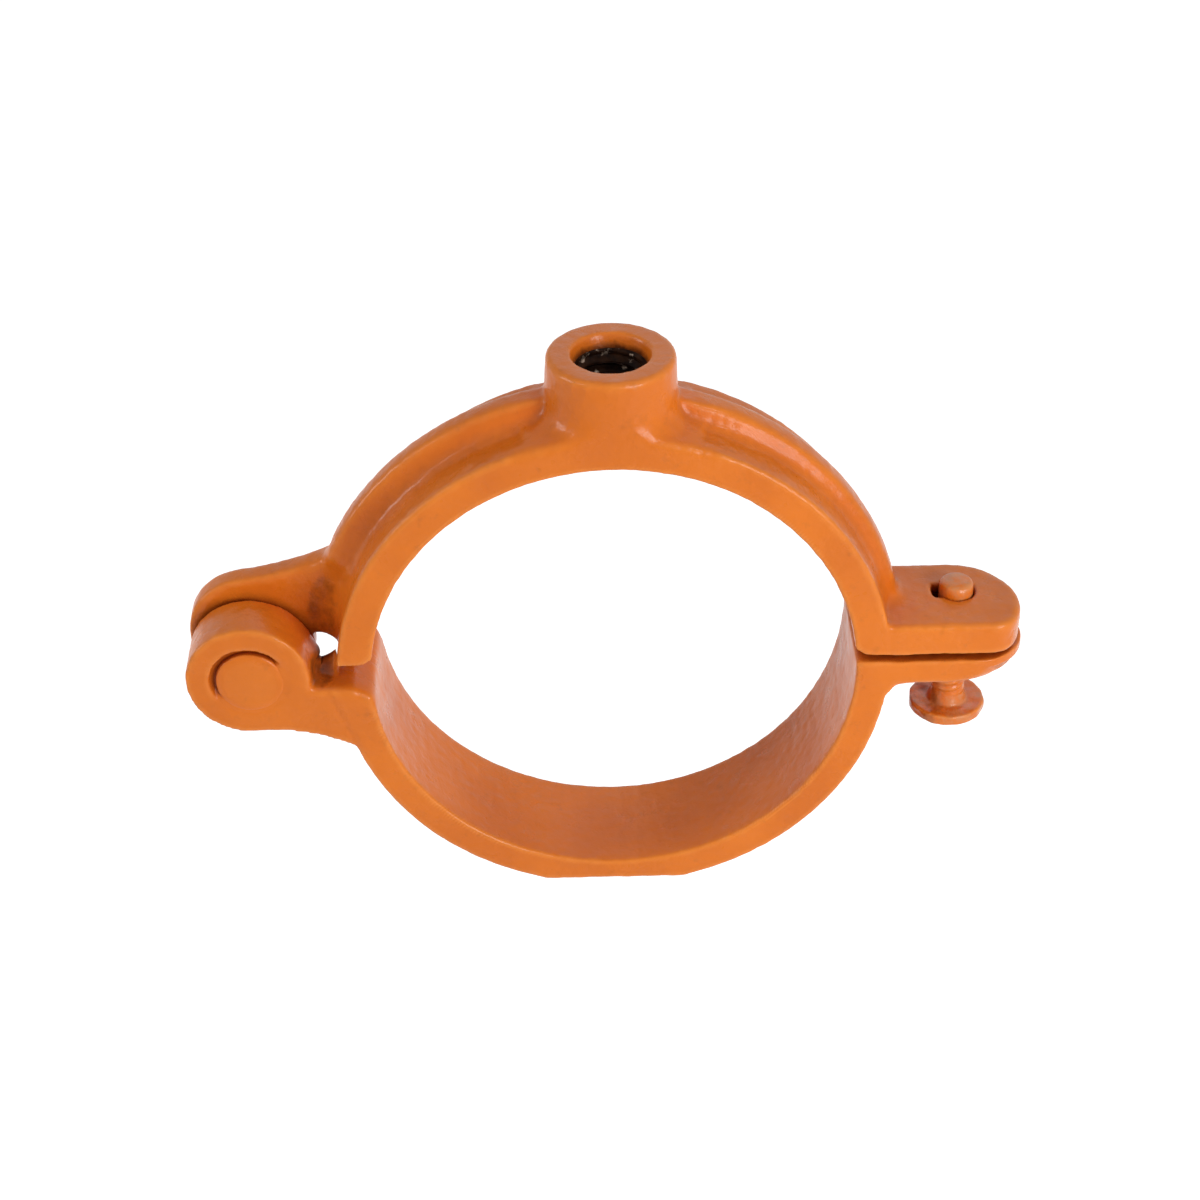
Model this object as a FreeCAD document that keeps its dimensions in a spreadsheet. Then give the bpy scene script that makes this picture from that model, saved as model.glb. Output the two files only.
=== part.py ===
import FreeCAD, Part
import math
import os
import Sketcher
from FreeCAD import Vector

# Hinged split ring hanger for a tube run under a threaded rod.
# Two painted iron halves close round the tube. They are hinged on a headed pin at
# one side and drawn together by a screw through two flat ears at the other side.
# The tube axis is Y, the rod axis is Z, and both pass through the origin.

doc = FreeCAD.newDocument("SplitRingHanger")
sheet = doc.addObject("Spreadsheet::Sheet", "Sizes")

sizes = [
    ("boreRadius", 33.35, "half the outside diameter of the tube it holds"),
    ("bandWidth", 17.5, "width of both halves along the tube"),
    ("upperWall", 4.8, "wall of the upper half beside its rib"),
    ("lowerWall", 4.55, "wall of the lower half"),
    ("upperSplit", 2.6, "height of the upper half's cut faces"),
    ("lowerSplitEar", 1.6, "height of the lower half's cut face at the ear"),
    ("lowerSplitHinge", -1.2, "height of the lower half's cut face at the hinge, outside"),
    ("hingeCutSlope", 1.3, "drop of that cut face from outside to inside"),
    ("splitRound", 2.2, "round on the inner corners of the upper half"),
    ("flatCut", 1.3, "how far the flat under the lower half cuts into its wall"),
    ("ribHeight", 3.0, "how far the rib stands above the band"),
    ("ribShift", -0.95, "rib centre, towards the hinge"),
    ("ribTopWidth", 3.8, "width of the rib's crown"),
    ("ribDraft", 12.0, "draft of the rib's walls, degrees"),
    ("ribEarAngle", 84.0, "how far the rib runs from the top towards the ear, degrees"),
    ("ribHingeAngle", 69.2, "how far the rib runs towards the hinge, degrees"),
    ("ribFillet", 1.8, "fillet at the foot of the rib"),
    ("bossRadius", 8.55, "rod boss at its top"),
    ("bossDraft", 2.5, "draft of the boss's wall, degrees"),
    ("bossHeight", 7.95, "how far the rod boss stands above the band"),
    ("bossFlare", 3.6, "hollow curve at the foot of the boss"),
    ("rodRadius", 4.76, "major radius of the rod thread, 3/8 in."),
    ("rodMouthRadius", 5.35, "countersunk mouth of the rod hole"),
    ("rodMouthDepth", 2.0, "depth of that countersink"),
    ("earUpperThickness", 4.8, "ear of the upper half"),
    ("earLowerThickness", 4.15, "ear of the lower half"),
    ("earInset", 1.85, "how far the ears' rear side stands back from the band's"),
    ("earEndExtra", 1.375, "how much the ears' round end exceeds half their width"),
    ("earReach", 9.3, "centre of the round end, from the lower band's outside"),
    ("earUpperSquare", 4.325, "how far the upper ear's front corner falls short of half its width"),
    ("earLowerSquare", 0.825, "how far the lower ear's front corner falls short of half its width"),
    ("earLowerExtra", 0.7, "how much further the lower ear reaches"),
    ("earFillet", 3.0, "fillet under the lower ear"),
    ("screwReach", 9.9, "screw axis, from the lower band's outside"),
    ("screwRadius", 2.4, "major radius of the clamping screw, No. 10"),
    ("screwTipRadius", 2.15, "end face of the screw"),
    ("screwTipLength", 1.0, "chamfered end of the screw"),
    ("screwStand", 1.8, "how far the screw's end stands out above the upper ear"),
    ("screwLength", 20.1, "length under the head"),
    ("screwHeadRadius", 5.3, "round head"),
    ("screwHeadRim", 1.4, "straight rim of the head"),
    ("screwHeadDome", 1.8, "dome of the head"),
    ("slotWidth", 1.3, "driver slot"),
    ("slotDepth", 1.5, "driver slot"),
    ("screwClearance", 0.05, "radial clearance in the lower ear"),
    ("upperHoleRadius", 3.3, "screw hole in the upper ear"),
    ("upperHoleShift", -0.5, "that hole's centre from the screw axis"),
    ("pinReach", 12.4, "hinge axis, from the lower band's outside"),
    ("pinHeight", 0.45, "hinge axis, above the tube axis"),
    ("pinRadius", 3.15, "hinge pin"),
    ("pinClearance", 0.05, "radial clearance in the upper lug"),
    ("pinSeat", 0.02, "radial clearance in the lower lug"),
    ("pinHeadRadius", 4.8, "head of the pin"),
    ("pinHeadHeight", 1.2, "head of the pin"),
    ("pinHeadGap", 0.5, "room round the head in its recess"),
    ("pinHeadDepth", 1.1, "depth of the recess"),
    ("pinTailRadius", 4.7, "riveted end of the pin"),
    ("pinTailHeight", 1.0, "riveted end of the pin"),
    ("eyeRadius", 8.6, "eye of both hinge lugs"),
    ("lugLowerThickness", 7.85, "front lug, on the lower half"),
    ("lugGap", 0.4, "gap between the two lugs"),
    ("webThickness", 3.9, "web of the upper lug"),
    ("rearBossInset", 1.15, "how far the eye boss stands back from the band's rear side"),
    ("rearBossRadius", 7.5, "eye boss behind the web"),
    ("webRise", 2.55, "centre of the web's outer corner, above the hinge axis"),
    ("webHollow", 42.9, "long hollow curve of the web's top"),
    ("webRootHeight", 22.1, "where the web's top meets the band"),
    ("webFoot", 3.8, "hollow foot between the web's front and the band"),
    ("webFootLap", 0.5, "how far that foot runs on into the rib, degrees"),
    ("armRootDepth", 12.6, "where the front arm's underside meets the band"),
    ("armHollow", 22.0, "hollow curve of the front arm's underside"),
    ("edgeRound", 0.7, "soft cast edges"),
    ("bandEdge", 0.5, "edges of the bands"),
]
worked_out = [
    ("ribRadius", "=boreRadius + upperWall + ribHeight", "outer radius of the raised rib"),
    ("bossTop", "=boreRadius + upperWall + bossHeight", "height of the rod boss"),
    ("bottomFlat", "=boreRadius + lowerWall - flatCut", "depth of the flat under the ring"),
    ("earRearSide", "=bandWidth / 2 - earInset", "rear side of both ears"),
    ("earEndRadius", "=(bandWidth - earInset) / 2 + earEndExtra", "round end of the ears"),
    ("earUpperCorner", "=(bandWidth - earInset) / 2 - earUpperSquare", "upper ear's front corner"),
    ("earLowerCorner", "=(bandWidth - earInset) / 2 - earLowerSquare", "lower ear's front corner"),
    ("earEndCentre", "=boreRadius + lowerWall + earReach", "centre of the ears' round end"),
    ("screwPlace", "=boreRadius + lowerWall + screwReach", "screw axis, from the tube axis"),
    ("screwTop", "=upperSplit + earUpperThickness + screwStand", "height of the screw's end"),
    ("pinPlace", "=boreRadius + lowerWall + pinReach", "hinge axis, from the tube axis"),
    ("rearBossLength", "=bandWidth - lugLowerThickness - lugGap - webThickness - rearBossInset",
     "eye boss behind the web"),
]
for row, (alias, content, note) in enumerate(sizes + worked_out, start=1):
    sheet.set("A%d" % row, alias)
    sheet.set("B%d" % row, content if isinstance(content, str) else repr(content))
    sheet.set("C%d" % row, note)
    sheet.setAlias("B%d" % row, alias)
doc.recompute()
value = {alias: float(sheet.get(alias)) for alias, content, note in sizes + worked_out}


def size(alias):
    return value[alias]


def new_body(name):
    body = doc.addObject("PartDesign::Body", name)
    body.Label = name
    return body


def origin_plane(body, role):
    for feature in body.Origin.OriginFeatures:
        if feature.Role == role:
            return feature


def new_sketch(body, name, role, offset=None):
    sketch = body.newObject("Sketcher::SketchObject", name)
    sketch.AttachmentSupport = [(origin_plane(body, role), "")]
    sketch.MapMode = "FlatFace"
    if offset is not None:
        sketch.setExpression("AttachmentOffset.Base.z", offset)
    doc.recompute()
    return sketch


def line(sketch, start, end):
    return sketch.addGeometry(Part.LineSegment(Vector(*start, 0), Vector(*end, 0)), False)


def arc(sketch, centre, radius, start, end):
    circle = Part.Circle(Vector(*centre, 0), Vector(0, 0, 1), radius)
    return sketch.addGeometry(Part.ArcOfCircle(circle, start, end), False)


def join(sketch, pairs):
    for first, first_end, second, second_end in pairs:
        sketch.addConstraint(
            Sketcher.Constraint("Coincident", first, first_end, second, second_end))


def tangent(sketch, pairs):
    for first, first_end, second, second_end in pairs:
        sketch.addConstraint(
            Sketcher.Constraint("Tangent", first, first_end, second, second_end))


def drive(sketch, name, kind, places, number, expression):
    index = sketch.addConstraint(Sketcher.Constraint(kind, *places, number))
    sketch.renameConstraint(index, name)
    sketch.setExpression("Constraints." + name, expression)


def pad(body, sketch, name, length, midplane=False, reverse=False):
    feature = body.newObject("PartDesign::Pad", name)
    feature.Profile = sketch
    feature.setExpression("Length", length)
    if midplane:
        feature.Midplane = True
    if reverse:
        feature.Reversed = True
    sketch.Visibility = False
    doc.recompute()
    return feature


def pocket(body, sketch, name, length=None, midplane=False, reverse=False):
    feature = body.newObject("PartDesign::Pocket", name)
    feature.Profile = sketch
    if length is None:
        feature.Type = "ThroughAll"
    else:
        feature.setExpression("Length", length)
    if midplane:
        feature.Midplane = True
    if reverse:
        feature.Reversed = True
    sketch.Visibility = False
    doc.recompute()
    return feature


def round_edges(body, name, radius, test):
    base = body.Tip
    names = []
    for number, edge in enumerate(base.Shape.Edges, start=1):
        if test(edge):
            names.append("Edge%d" % number)
    feature = body.newObject("PartDesign::Fillet", name)
    feature.Base = (base, names)
    feature.setExpression("Radius", radius)
    doc.recompute()
    return feature


def circle_sketch(body, name, role, place, radius, offset=None):
    # one circle; place and radius are pairs of a number and its expression
    (across, across_formula), (up, up_formula) = place
    number, formula = radius
    sketch = new_sketch(body, name, role, offset)
    shape = Part.Circle(Vector(across, up, 0), Vector(0, 0, 1), number)
    ring = sketch.addGeometry(shape, False)
    drive(sketch, "radius", "Radius", [ring], number, formula)
    if across == 0:
        sketch.addConstraint(Sketcher.Constraint("PointOnObject", ring, 3, -2))
    else:
        drive(sketch, "across", "DistanceX", [-1, 1, ring, 3], across, across_formula)
    if up == 0:
        sketch.addConstraint(Sketcher.Constraint("PointOnObject", ring, 3, -1))
    else:
        drive(sketch, "up", "DistanceY", [-1, 1, ring, 3], up, up_formula)
    doc.recompute()
    return sketch


def ear_sketch(body, name, extra, extra_formula, corner_name, offset):
    # flat ear seen from above: straight sides, a round end and a tighter front corner
    front = -size("bandWidth") / 2
    rear = size("earRearSide")
    end_radius = size("earEndRadius")
    centre = (size("earEndCentre") + extra, rear - end_radius)
    corner = size(corner_name)
    corner_up = front + corner
    reach = math.sqrt((end_radius - corner) ** 2 - (corner_up - centre[1]) ** 2)
    corner_centre = (centre[0] + reach, corner_up)
    turn = math.atan2(corner_centre[1] - centre[1], corner_centre[0] - centre[0])
    touch = (centre[0] + end_radius * math.cos(turn), centre[1] + end_radius * math.sin(turn))
    root = size("boreRadius") + size("lowerWall") / 2
    sketch = new_sketch(body, name, "XY_Plane", offset)
    front_side = line(sketch, (root, front), (corner_centre[0], front))
    small = arc(sketch, corner_centre, corner, -math.pi / 2, turn)
    large = arc(sketch, centre, end_radius, turn, math.pi / 2)
    rear_side = line(sketch, (centre[0], rear), (root, rear))
    root_side = line(sketch, (root, rear), (root, front))
    join(sketch, [(rear_side, 2, root_side, 1), (root_side, 2, front_side, 1)])
    tangent(sketch, [(front_side, 2, small, 1), (small, 2, large, 1), (large, 2, rear_side, 1)])
    sketch.addConstraint(Sketcher.Constraint("Horizontal", front_side))
    sketch.addConstraint(Sketcher.Constraint("Horizontal", rear_side))
    sketch.addConstraint(Sketcher.Constraint("Vertical", root_side))
    drive(sketch, "front", "DistanceY", [front_side, 1, -1, 1], -front, "Sizes.bandWidth / 2")
    drive(sketch, "rear", "DistanceY", [-1, 1, rear_side, 2], rear, "Sizes.earRearSide")
    drive(sketch, "root", "DistanceX", [-1, 1, root_side, 2], root,
          "Sizes.boreRadius + Sizes.lowerWall / 2")
    drive(sketch, "corner", "Radius", [small], corner, "Sizes." + corner_name)
    drive(sketch, "end", "Radius", [large], end_radius, "Sizes.earEndRadius")
    drive(sketch, "place", "DistanceX", [-1, 1, large, 3], centre[0],
          "Sizes.earEndCentre" + extra_formula)
    doc.recompute()
    return sketch


y_axis = Vector(0, 1, 0)
z_axis = Vector(0, 0, 1)
front_side = -size("bandWidth") / 2
rear_side = size("bandWidth") / 2


def middle_of(edge):
    return edge.valueAt((edge.FirstParameter + edge.LastParameter) / 2)


def along(edge, axis):
    # True for a straight edge that runs along the given axis
    return edge.Curve.TypeId == "Part::GeomLine" and abs(
        abs(edge.Curve.Direction.dot(axis)) - 1) < 1e-6


def circle_at(edge, radius, axis, height, near=0.02):
    # True for a circular edge of this radius, square to the axis at the given height
    curve = edge.Curve
    if curve.TypeId != "Part::GeomCircle" or abs(curve.Radius - radius) > near:
        return False
    return abs(abs(curve.Axis.dot(axis)) - 1) < 1e-6 and abs(
        edge.valueAt(edge.FirstParameter).dot(axis) - height) < near


def flat_edge(edge, axis, height):
    # True when the whole edge lies in the plane square to the axis at the given height
    places = [edge.valueAt(edge.FirstParameter), middle_of(edge), edge.valueAt(edge.LastParameter)]
    return all(abs(place.dot(axis) - height) < 0.005 for place in places)


# Upper half: band, rib, boss, ear and hinge lug, one casting
upper = new_body("upper_half")

bore = size("boreRadius")
upper_outer = bore + size("upperWall")
split = size("upperSplit")
band = new_sketch(upper, "UpperBand", "XZ_Plane")
inner_turn = math.asin(split / bore)
outer_turn = math.asin(split / upper_outer)
inner_arc = arc(band, (0, 0), bore, inner_turn, math.pi - inner_turn)
outer_arc = arc(band, (0, 0), upper_outer, outer_turn, math.pi - outer_turn)
right_end = line(band, (bore * math.cos(inner_turn), split),
                 (upper_outer * math.cos(outer_turn), split))
left_end = line(band, (-bore * math.cos(inner_turn), split),
                (-upper_outer * math.cos(outer_turn), split))
join(band, [(right_end, 1, inner_arc, 1), (right_end, 2, outer_arc, 1),
            (left_end, 1, inner_arc, 2), (left_end, 2, outer_arc, 2)])
join(band, [(inner_arc, 3, -1, 1), (outer_arc, 3, -1, 1)])
band.addConstraint(Sketcher.Constraint("Horizontal", right_end))
band.addConstraint(Sketcher.Constraint("Horizontal", left_end))
drive(band, "bore", "Radius", [inner_arc], bore, "Sizes.boreRadius")
drive(band, "outside", "Radius", [outer_arc], upper_outer, "Sizes.boreRadius + Sizes.upperWall")
drive(band, "rightCut", "DistanceY", [-1, 1, right_end, 1], split, "Sizes.upperSplit")
drive(band, "leftCut", "DistanceY", [-1, 1, left_end, 1], split, "Sizes.upperSplit")
pad(upper, band, "UpperBandPad", "Sizes.bandWidth", midplane=True)


def upper_corner(edge):
    # inner corners of the cut faces, along the tube
    middle = middle_of(edge)
    return (abs(middle.z - split) < 0.01 and abs(math.hypot(middle.x, middle.z) - bore) < 0.01
            and edge.Length > size("bandWidth") * 0.8)


round_edges(upper, "SplitCorners", "Sizes.splitRound", upper_corner)


def band_rim(edge):
    # the bore's rims at both sides
    return (circle_at(edge, bore, y_axis, front_side) or circle_at(edge, bore, y_axis, rear_side))


round_edges(upper, "UpperBandRims", "Sizes.bandEdge", band_rim)

# Rib: a drafted bar with hollow feet, carried round the band. Its crown is then
# turned down about a centre that lies towards the hinge.
rib = new_sketch(upper, "RibProfile", "YZ_Plane")
crown = size("ribRadius")
foot = bore + size("upperWall") / 2
draft = math.radians(size("ribDraft"))
spare = 2 * abs(size("ribShift"))
half_crown = size("ribTopWidth") / 2
half_top = half_crown - spare * math.tan(draft)
rib_fillet = size("ribFillet")
skin = upper_outer - 0.02
curve_up = skin + rib_fillet
wall_up = curve_up - rib_fillet * math.sin(draft)
wall_out = half_crown + (crown - wall_up) * math.tan(draft)
curve_out = wall_out + rib_fillet * math.cos(draft)
top_side = line(rib, (-half_top, crown + spare), (half_top, crown + spare))
right_wall = line(rib, (half_top, crown + spare), (wall_out, wall_up))
right_curve = arc(rib, (curve_out, curve_up), rib_fillet, math.pi + draft, 1.5 * math.pi)
right_drop = line(rib, (curve_out, skin), (curve_out, foot))
foot_side = line(rib, (curve_out, foot), (-curve_out, foot))
left_drop = line(rib, (-curve_out, foot), (-curve_out, skin))
left_curve = arc(rib, (-curve_out, curve_up), rib_fillet, 1.5 * math.pi, 2 * math.pi - draft)
left_wall = line(rib, (-wall_out, wall_up), (-half_top, crown + spare))
join(rib, [(top_side, 2, right_wall, 1), (right_curve, 2, right_drop, 1),
           (right_drop, 2, foot_side, 1), (foot_side, 2, left_drop, 1),
           (left_drop, 2, left_curve, 1), (left_curve, 2, left_wall, 1),
           (left_wall, 2, top_side, 1)])
tangent(rib, [(right_wall, 2, right_curve, 1)])
rib.addConstraint(Sketcher.Constraint("Symmetric", top_side, 1, top_side, 2, -2))
rib.addConstraint(Sketcher.Constraint("Symmetric", foot_side, 1, foot_side, 2, -2))
rib.addConstraint(Sketcher.Constraint("Symmetric", right_drop, 1, left_drop, 2, -2))
rib.addConstraint(Sketcher.Constraint("Symmetric", right_curve, 1, left_curve, 2, -2))
rib.addConstraint(Sketcher.Constraint("Vertical", right_drop))
rib.addConstraint(Sketcher.Constraint("Vertical", right_curve, 3, right_curve, 2))
rib.addConstraint(Sketcher.Constraint("Equal", right_curve, left_curve))
drive(rib, "top", "DistanceY", [-1, 1, top_side, 1], crown + spare,
      "Sizes.ribRadius + 2 * abs(Sizes.ribShift)")
drive(rib, "width", "DistanceX", [top_side, 1, top_side, 2], half_top * 2,
      "Sizes.ribTopWidth - 4 * abs(Sizes.ribShift) * tan(Sizes.ribDraft * 1 deg)")
drive(rib, "curve", "Radius", [right_curve], rib_fillet, "Sizes.ribFillet")
drive(rib, "skin", "DistanceY", [-1, 1, right_curve, 2], skin,
      "Sizes.boreRadius + Sizes.upperWall - 0.02")
drive(rib, "foot", "DistanceY", [-1, 1, foot_side, 1], foot,
      "Sizes.boreRadius + Sizes.upperWall / 2")
drive(rib, "wall", "DistanceX", [-1, 1, right_wall, 2], wall_out,
      "Sizes.ribTopWidth / 2 + (Sizes.ribRadius - Sizes.boreRadius - Sizes.upperWall + 0.02"
      " - Sizes.ribFillet * (1 - sin(Sizes.ribDraft * 1 deg))) * tan(Sizes.ribDraft * 1 deg)")
doc.recompute()
rib_turn = upper.newObject("PartDesign::Revolution", "Rib")
rib_turn.Profile = rib
rib_turn.ReferenceAxis = (rib, ["H_Axis"])
rib_turn.Type = "TwoAngles"
rib_turn.setExpression("Angle", "Sizes.ribEarAngle")
rib_turn.setExpression("Angle2", "Sizes.ribHingeAngle")
doc.recompute()

turning = new_sketch(upper, "CrownTurning", "XZ_Plane")
crown_ring = turning.addGeometry(
    Part.Circle(Vector(size("ribShift"), 0, 0), Vector(0, 0, 1), crown), False)
clear_ring = turning.addGeometry(
    Part.Circle(Vector(size("ribShift"), 0, 0), Vector(0, 0, 1), crown * 1.5), False)
join(turning, [(crown_ring, 3, clear_ring, 3)])
turning.addConstraint(Sketcher.Constraint("PointOnObject", crown_ring, 3, -1))
drive(turning, "shift", "DistanceX", [-1, 1, crown_ring, 3], size("ribShift"), "Sizes.ribShift")
drive(turning, "crown", "Radius", [crown_ring], crown, "Sizes.ribRadius")
drive(turning, "clear", "Radius", [clear_ring], crown * 1.5, "Sizes.ribRadius * 1.5")
doc.recompute()
pocket(upper, turning, "CrownTurningCut", "Sizes.bandWidth", midplane=True)


def rib_crown(edge):
    # the two long edges of the rib's crown
    middle = middle_of(edge)
    radial = math.hypot(middle.x - size("ribShift"), middle.z)
    return (abs(radial - crown) < 0.02 and edge.Length > size("ribTopWidth") * 2
            and half_top < abs(middle.y) < wall_out)


round_edges(upper, "RibCrownRound", "Sizes.edgeRound", rib_crown)

# Ear with the screw hole
upper_ear = ear_sketch(upper, "UpperEar", 0, "", "earUpperCorner", "Sizes.upperSplit")
pad(upper, upper_ear, "UpperEarPad", "Sizes.earUpperThickness")

# Hinge lug: a web that carries on from the rib, with an eye boss behind it. The web's
# outer corner is as round as the eye, and its top is one long hollow curve that
# touches that corner from outside and ends at the web's root in the band.
pin_x = -size("pinPlace")
pin_z = size("pinHeight")
eye = size("eyeRadius")
lug_front = -size("bandWidth") / 2 + size("lugLowerThickness") + size("lugGap")
web_front_formula = "-(-Sizes.bandWidth / 2 + Sizes.lugLowerThickness + Sizes.lugGap)"
web_root = foot
root_up = size("webRootHeight")
root_x = -math.sqrt(web_root ** 2 - root_up ** 2)
web_hollow = size("webHollow")
corner_z = pin_z + size("webRise")
web_apart = eye + web_hollow
web_span = math.hypot(root_x - pin_x, root_up - corner_z)
web_toward = math.atan2(root_up - corner_z, root_x - pin_x)
web_opening = math.acos(
    (web_apart ** 2 + web_span ** 2 - web_hollow ** 2) / (2 * web_apart * web_span))
touch_turn = web_toward + web_opening
web_centre = (pin_x + web_apart * math.cos(touch_turn), corner_z + web_apart * math.sin(touch_turn))
web_end = math.atan2(root_up - web_centre[1], root_x - web_centre[0])
low_x = pin_x + math.sqrt(eye ** 2 - (split - pin_z) ** 2)
low_turn = math.atan2(split - pin_z, low_x - pin_x)
web = new_sketch(upper, "HingeWeb", "XZ_Plane", web_front_formula)
hollow_arc = arc(web, web_centre, web_hollow, touch_turn - math.pi, web_end)
corner_arc = arc(web, (pin_x, corner_z), eye, touch_turn, math.pi)
side_line = line(web, (pin_x - eye, corner_z), (pin_x - eye, pin_z))
eye_arc = arc(web, (pin_x, pin_z), eye, math.pi, 2 * math.pi + low_turn)
low_line = line(web, (low_x, split), (-web_root, split))
root_line = line(web, (-web_root, split), (root_x, root_up))
tangent(web, [(hollow_arc, 1, corner_arc, 1), (corner_arc, 2, side_line, 1),
              (side_line, 2, eye_arc, 1)])
join(web, [(eye_arc, 2, low_line, 1), (low_line, 2, root_line, 1),
           (root_line, 2, hollow_arc, 2)])
web.addConstraint(Sketcher.Constraint("Vertical", side_line))
web.addConstraint(Sketcher.Constraint("Horizontal", low_line))
drive(web, "pinAcross", "DistanceX", [eye_arc, 3, -1, 1], -pin_x, "Sizes.pinPlace")
drive(web, "pinUp", "DistanceY", [-1, 1, eye_arc, 3], pin_z, "Sizes.pinHeight")
drive(web, "eye", "Radius", [eye_arc], eye, "Sizes.eyeRadius")
drive(web, "corner", "Radius", [corner_arc], eye, "Sizes.eyeRadius")
drive(web, "rise", "DistanceY", [eye_arc, 3, corner_arc, 3], size("webRise"), "Sizes.webRise")
drive(web, "hollow", "Radius", [hollow_arc], web_hollow, "Sizes.webHollow")
drive(web, "cut", "DistanceY", [-1, 1, low_line, 2], split, "Sizes.upperSplit")
drive(web, "cutRoot", "DistanceX", [low_line, 2, -1, 1], web_root,
      "Sizes.boreRadius + Sizes.upperWall / 2")
drive(web, "rootUp", "DistanceY", [-1, 1, root_line, 2], root_up, "Sizes.webRootHeight")
drive(web, "rootAcross", "DistanceX", [root_line, 2, -1, 1], -root_x,
      "sqrt((Sizes.boreRadius + Sizes.upperWall / 2) ^ 2 - Sizes.webRootHeight ^ 2)")
pad(upper, web, "HingeWebPad", "Sizes.webThickness", reverse=True)

# Hollow foot that turns the web's front face into the band's outside. Its edges lie
# just under both surfaces, and it runs from the cut face into the end of the rib.
web_foot = size("webFoot")
foot_out = upper_outer - 0.02 + web_foot
foot_front = lug_front + 0.02 - web_foot
foot_back = lug_front + size("webThickness") / 2
web_foot_sketch = new_sketch(upper, "WebFoot", "XY_Plane")
foot_arc = arc(web_foot_sketch, (-foot_out, foot_front), web_foot, 0, math.pi / 2)
foot_left = line(web_foot_sketch, (-foot_out, foot_front + web_foot), (-foot_out, foot_back))
foot_rear = line(web_foot_sketch, (-foot_out, foot_back), (-foot, foot_back))
foot_root = line(web_foot_sketch, (-foot, foot_back), (-foot, foot_front))
foot_low = line(web_foot_sketch, (-foot, foot_front), (-foot_out + web_foot, foot_front))
join(web_foot_sketch, [(foot_arc, 2, foot_left, 1), (foot_left, 2, foot_rear, 1),
                       (foot_rear, 2, foot_root, 1), (foot_root, 2, foot_low, 1),
                       (foot_low, 2, foot_arc, 1)])
for part in (foot_left, foot_root):
    web_foot_sketch.addConstraint(Sketcher.Constraint("Vertical", part))
for part in (foot_rear, foot_low):
    web_foot_sketch.addConstraint(Sketcher.Constraint("Horizontal", part))
web_foot_sketch.addConstraint(Sketcher.Constraint("Horizontal", foot_arc, 3, foot_arc, 1))
web_foot_sketch.addConstraint(Sketcher.Constraint("Vertical", foot_arc, 3, foot_arc, 2))
drive(web_foot_sketch, "curve", "Radius", [foot_arc], web_foot, "Sizes.webFoot")
drive(web_foot_sketch, "skin", "DistanceX", [foot_arc, 1, -1, 1], foot_out - web_foot,
      "Sizes.boreRadius + Sizes.upperWall - 0.02")
drive(web_foot_sketch, "front", "DistanceY", [foot_arc, 2, -1, 1], -foot_front - web_foot,
      "Sizes.bandWidth / 2 - Sizes.lugLowerThickness - Sizes.lugGap - 0.02")
drive(web_foot_sketch, "inside", "DistanceX", [foot_root, 1, -1, 1], foot,
      "Sizes.boreRadius + Sizes.upperWall / 2")
drive(web_foot_sketch, "depth", "DistanceY", [foot_left, 1, foot_left, 2],
      foot_back - foot_front - web_foot, "Sizes.webThickness / 2 - 0.02")
doc.recompute()
web_foot_turn = upper.newObject("PartDesign::Revolution", "WebFootTurn")
web_foot_turn.Profile = web_foot_sketch
web_foot_turn.ReferenceAxis = (web_foot_sketch, ["V_Axis"])
web_foot_turn.Type = "TwoAngles"
web_foot_turn.setExpression("Angle", "90 - Sizes.ribHingeAngle + Sizes.webFootLap")
web_foot_turn.setExpression(
    "Angle2", "-asin(Sizes.upperSplit / (Sizes.boreRadius + Sizes.upperWall))")
doc.recompute()

pin_place =((pin_x, "-Sizes.pinPlace"), (pin_z, "Sizes.pinHeight"))
rear_formula = ("-(-Sizes.bandWidth / 2 + Sizes.lugLowerThickness + Sizes.lugGap"
                " + Sizes.webThickness)")
rear_boss = circle_sketch(upper, "RearBoss", "XZ_Plane", pin_place,
                          (size("rearBossRadius"), "Sizes.rearBossRadius"), rear_formula)
pad(upper, rear_boss, "RearBossPad", "Sizes.rearBossLength", reverse=True)

# Rod boss: a drafted wall with a hollow flared foot, turned about the rod axis and
# trimmed flush with the band's two sides
centre_place = ((0, ""), (0, ""))
boss = new_sketch(upper, "RodBoss", "XZ_Plane")
flare_radius = size("bossFlare")
boss_radius = size("bossRadius")
boss_top = size("bossTop")
boss_draft = math.radians(size("bossDraft"))
flare_low = bore + size("upperWall") * 0.75
flare_base = bore + size("upperWall") / 3
wall_low = flare_low + flare_radius * (1 - math.sin(boss_draft))
wall_foot = boss_radius + (boss_top - wall_low) * math.tan(boss_draft)
flare_centre = (wall_foot + flare_radius * math.cos(boss_draft), flare_low + flare_radius)
boss_axis_side = line(boss, (0, flare_base), (0, boss_top))
boss_face = line(boss, (0, boss_top), (boss_radius, boss_top))
boss_wall = line(boss, (boss_radius, boss_top), (wall_foot, wall_low))
flare_arc = arc(boss, flare_centre, flare_radius, math.pi + boss_draft, 1.5 * math.pi)
boss_rim = line(boss, (flare_centre[0], flare_low), (flare_centre[0], flare_base))
boss_low = line(boss, (flare_centre[0], flare_base), (0, flare_base))
tangent(boss, [(boss_wall, 2, flare_arc, 1)])
join(boss, [(boss_axis_side, 2, boss_face, 1), (boss_face, 2, boss_wall, 1),
            (flare_arc, 2, boss_rim, 1), (boss_rim, 2, boss_low, 1),
            (boss_low, 2, boss_axis_side, 1)])
boss.addConstraint(Sketcher.Constraint("PointOnObject", boss_axis_side, 1, -2))
boss.addConstraint(Sketcher.Constraint("PointOnObject", boss_axis_side, 2, -2))
boss.addConstraint(Sketcher.Constraint("Horizontal", boss_face))
boss.addConstraint(Sketcher.Constraint("Horizontal", boss_low))
boss.addConstraint(Sketcher.Constraint("Vertical", boss_rim))
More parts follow.
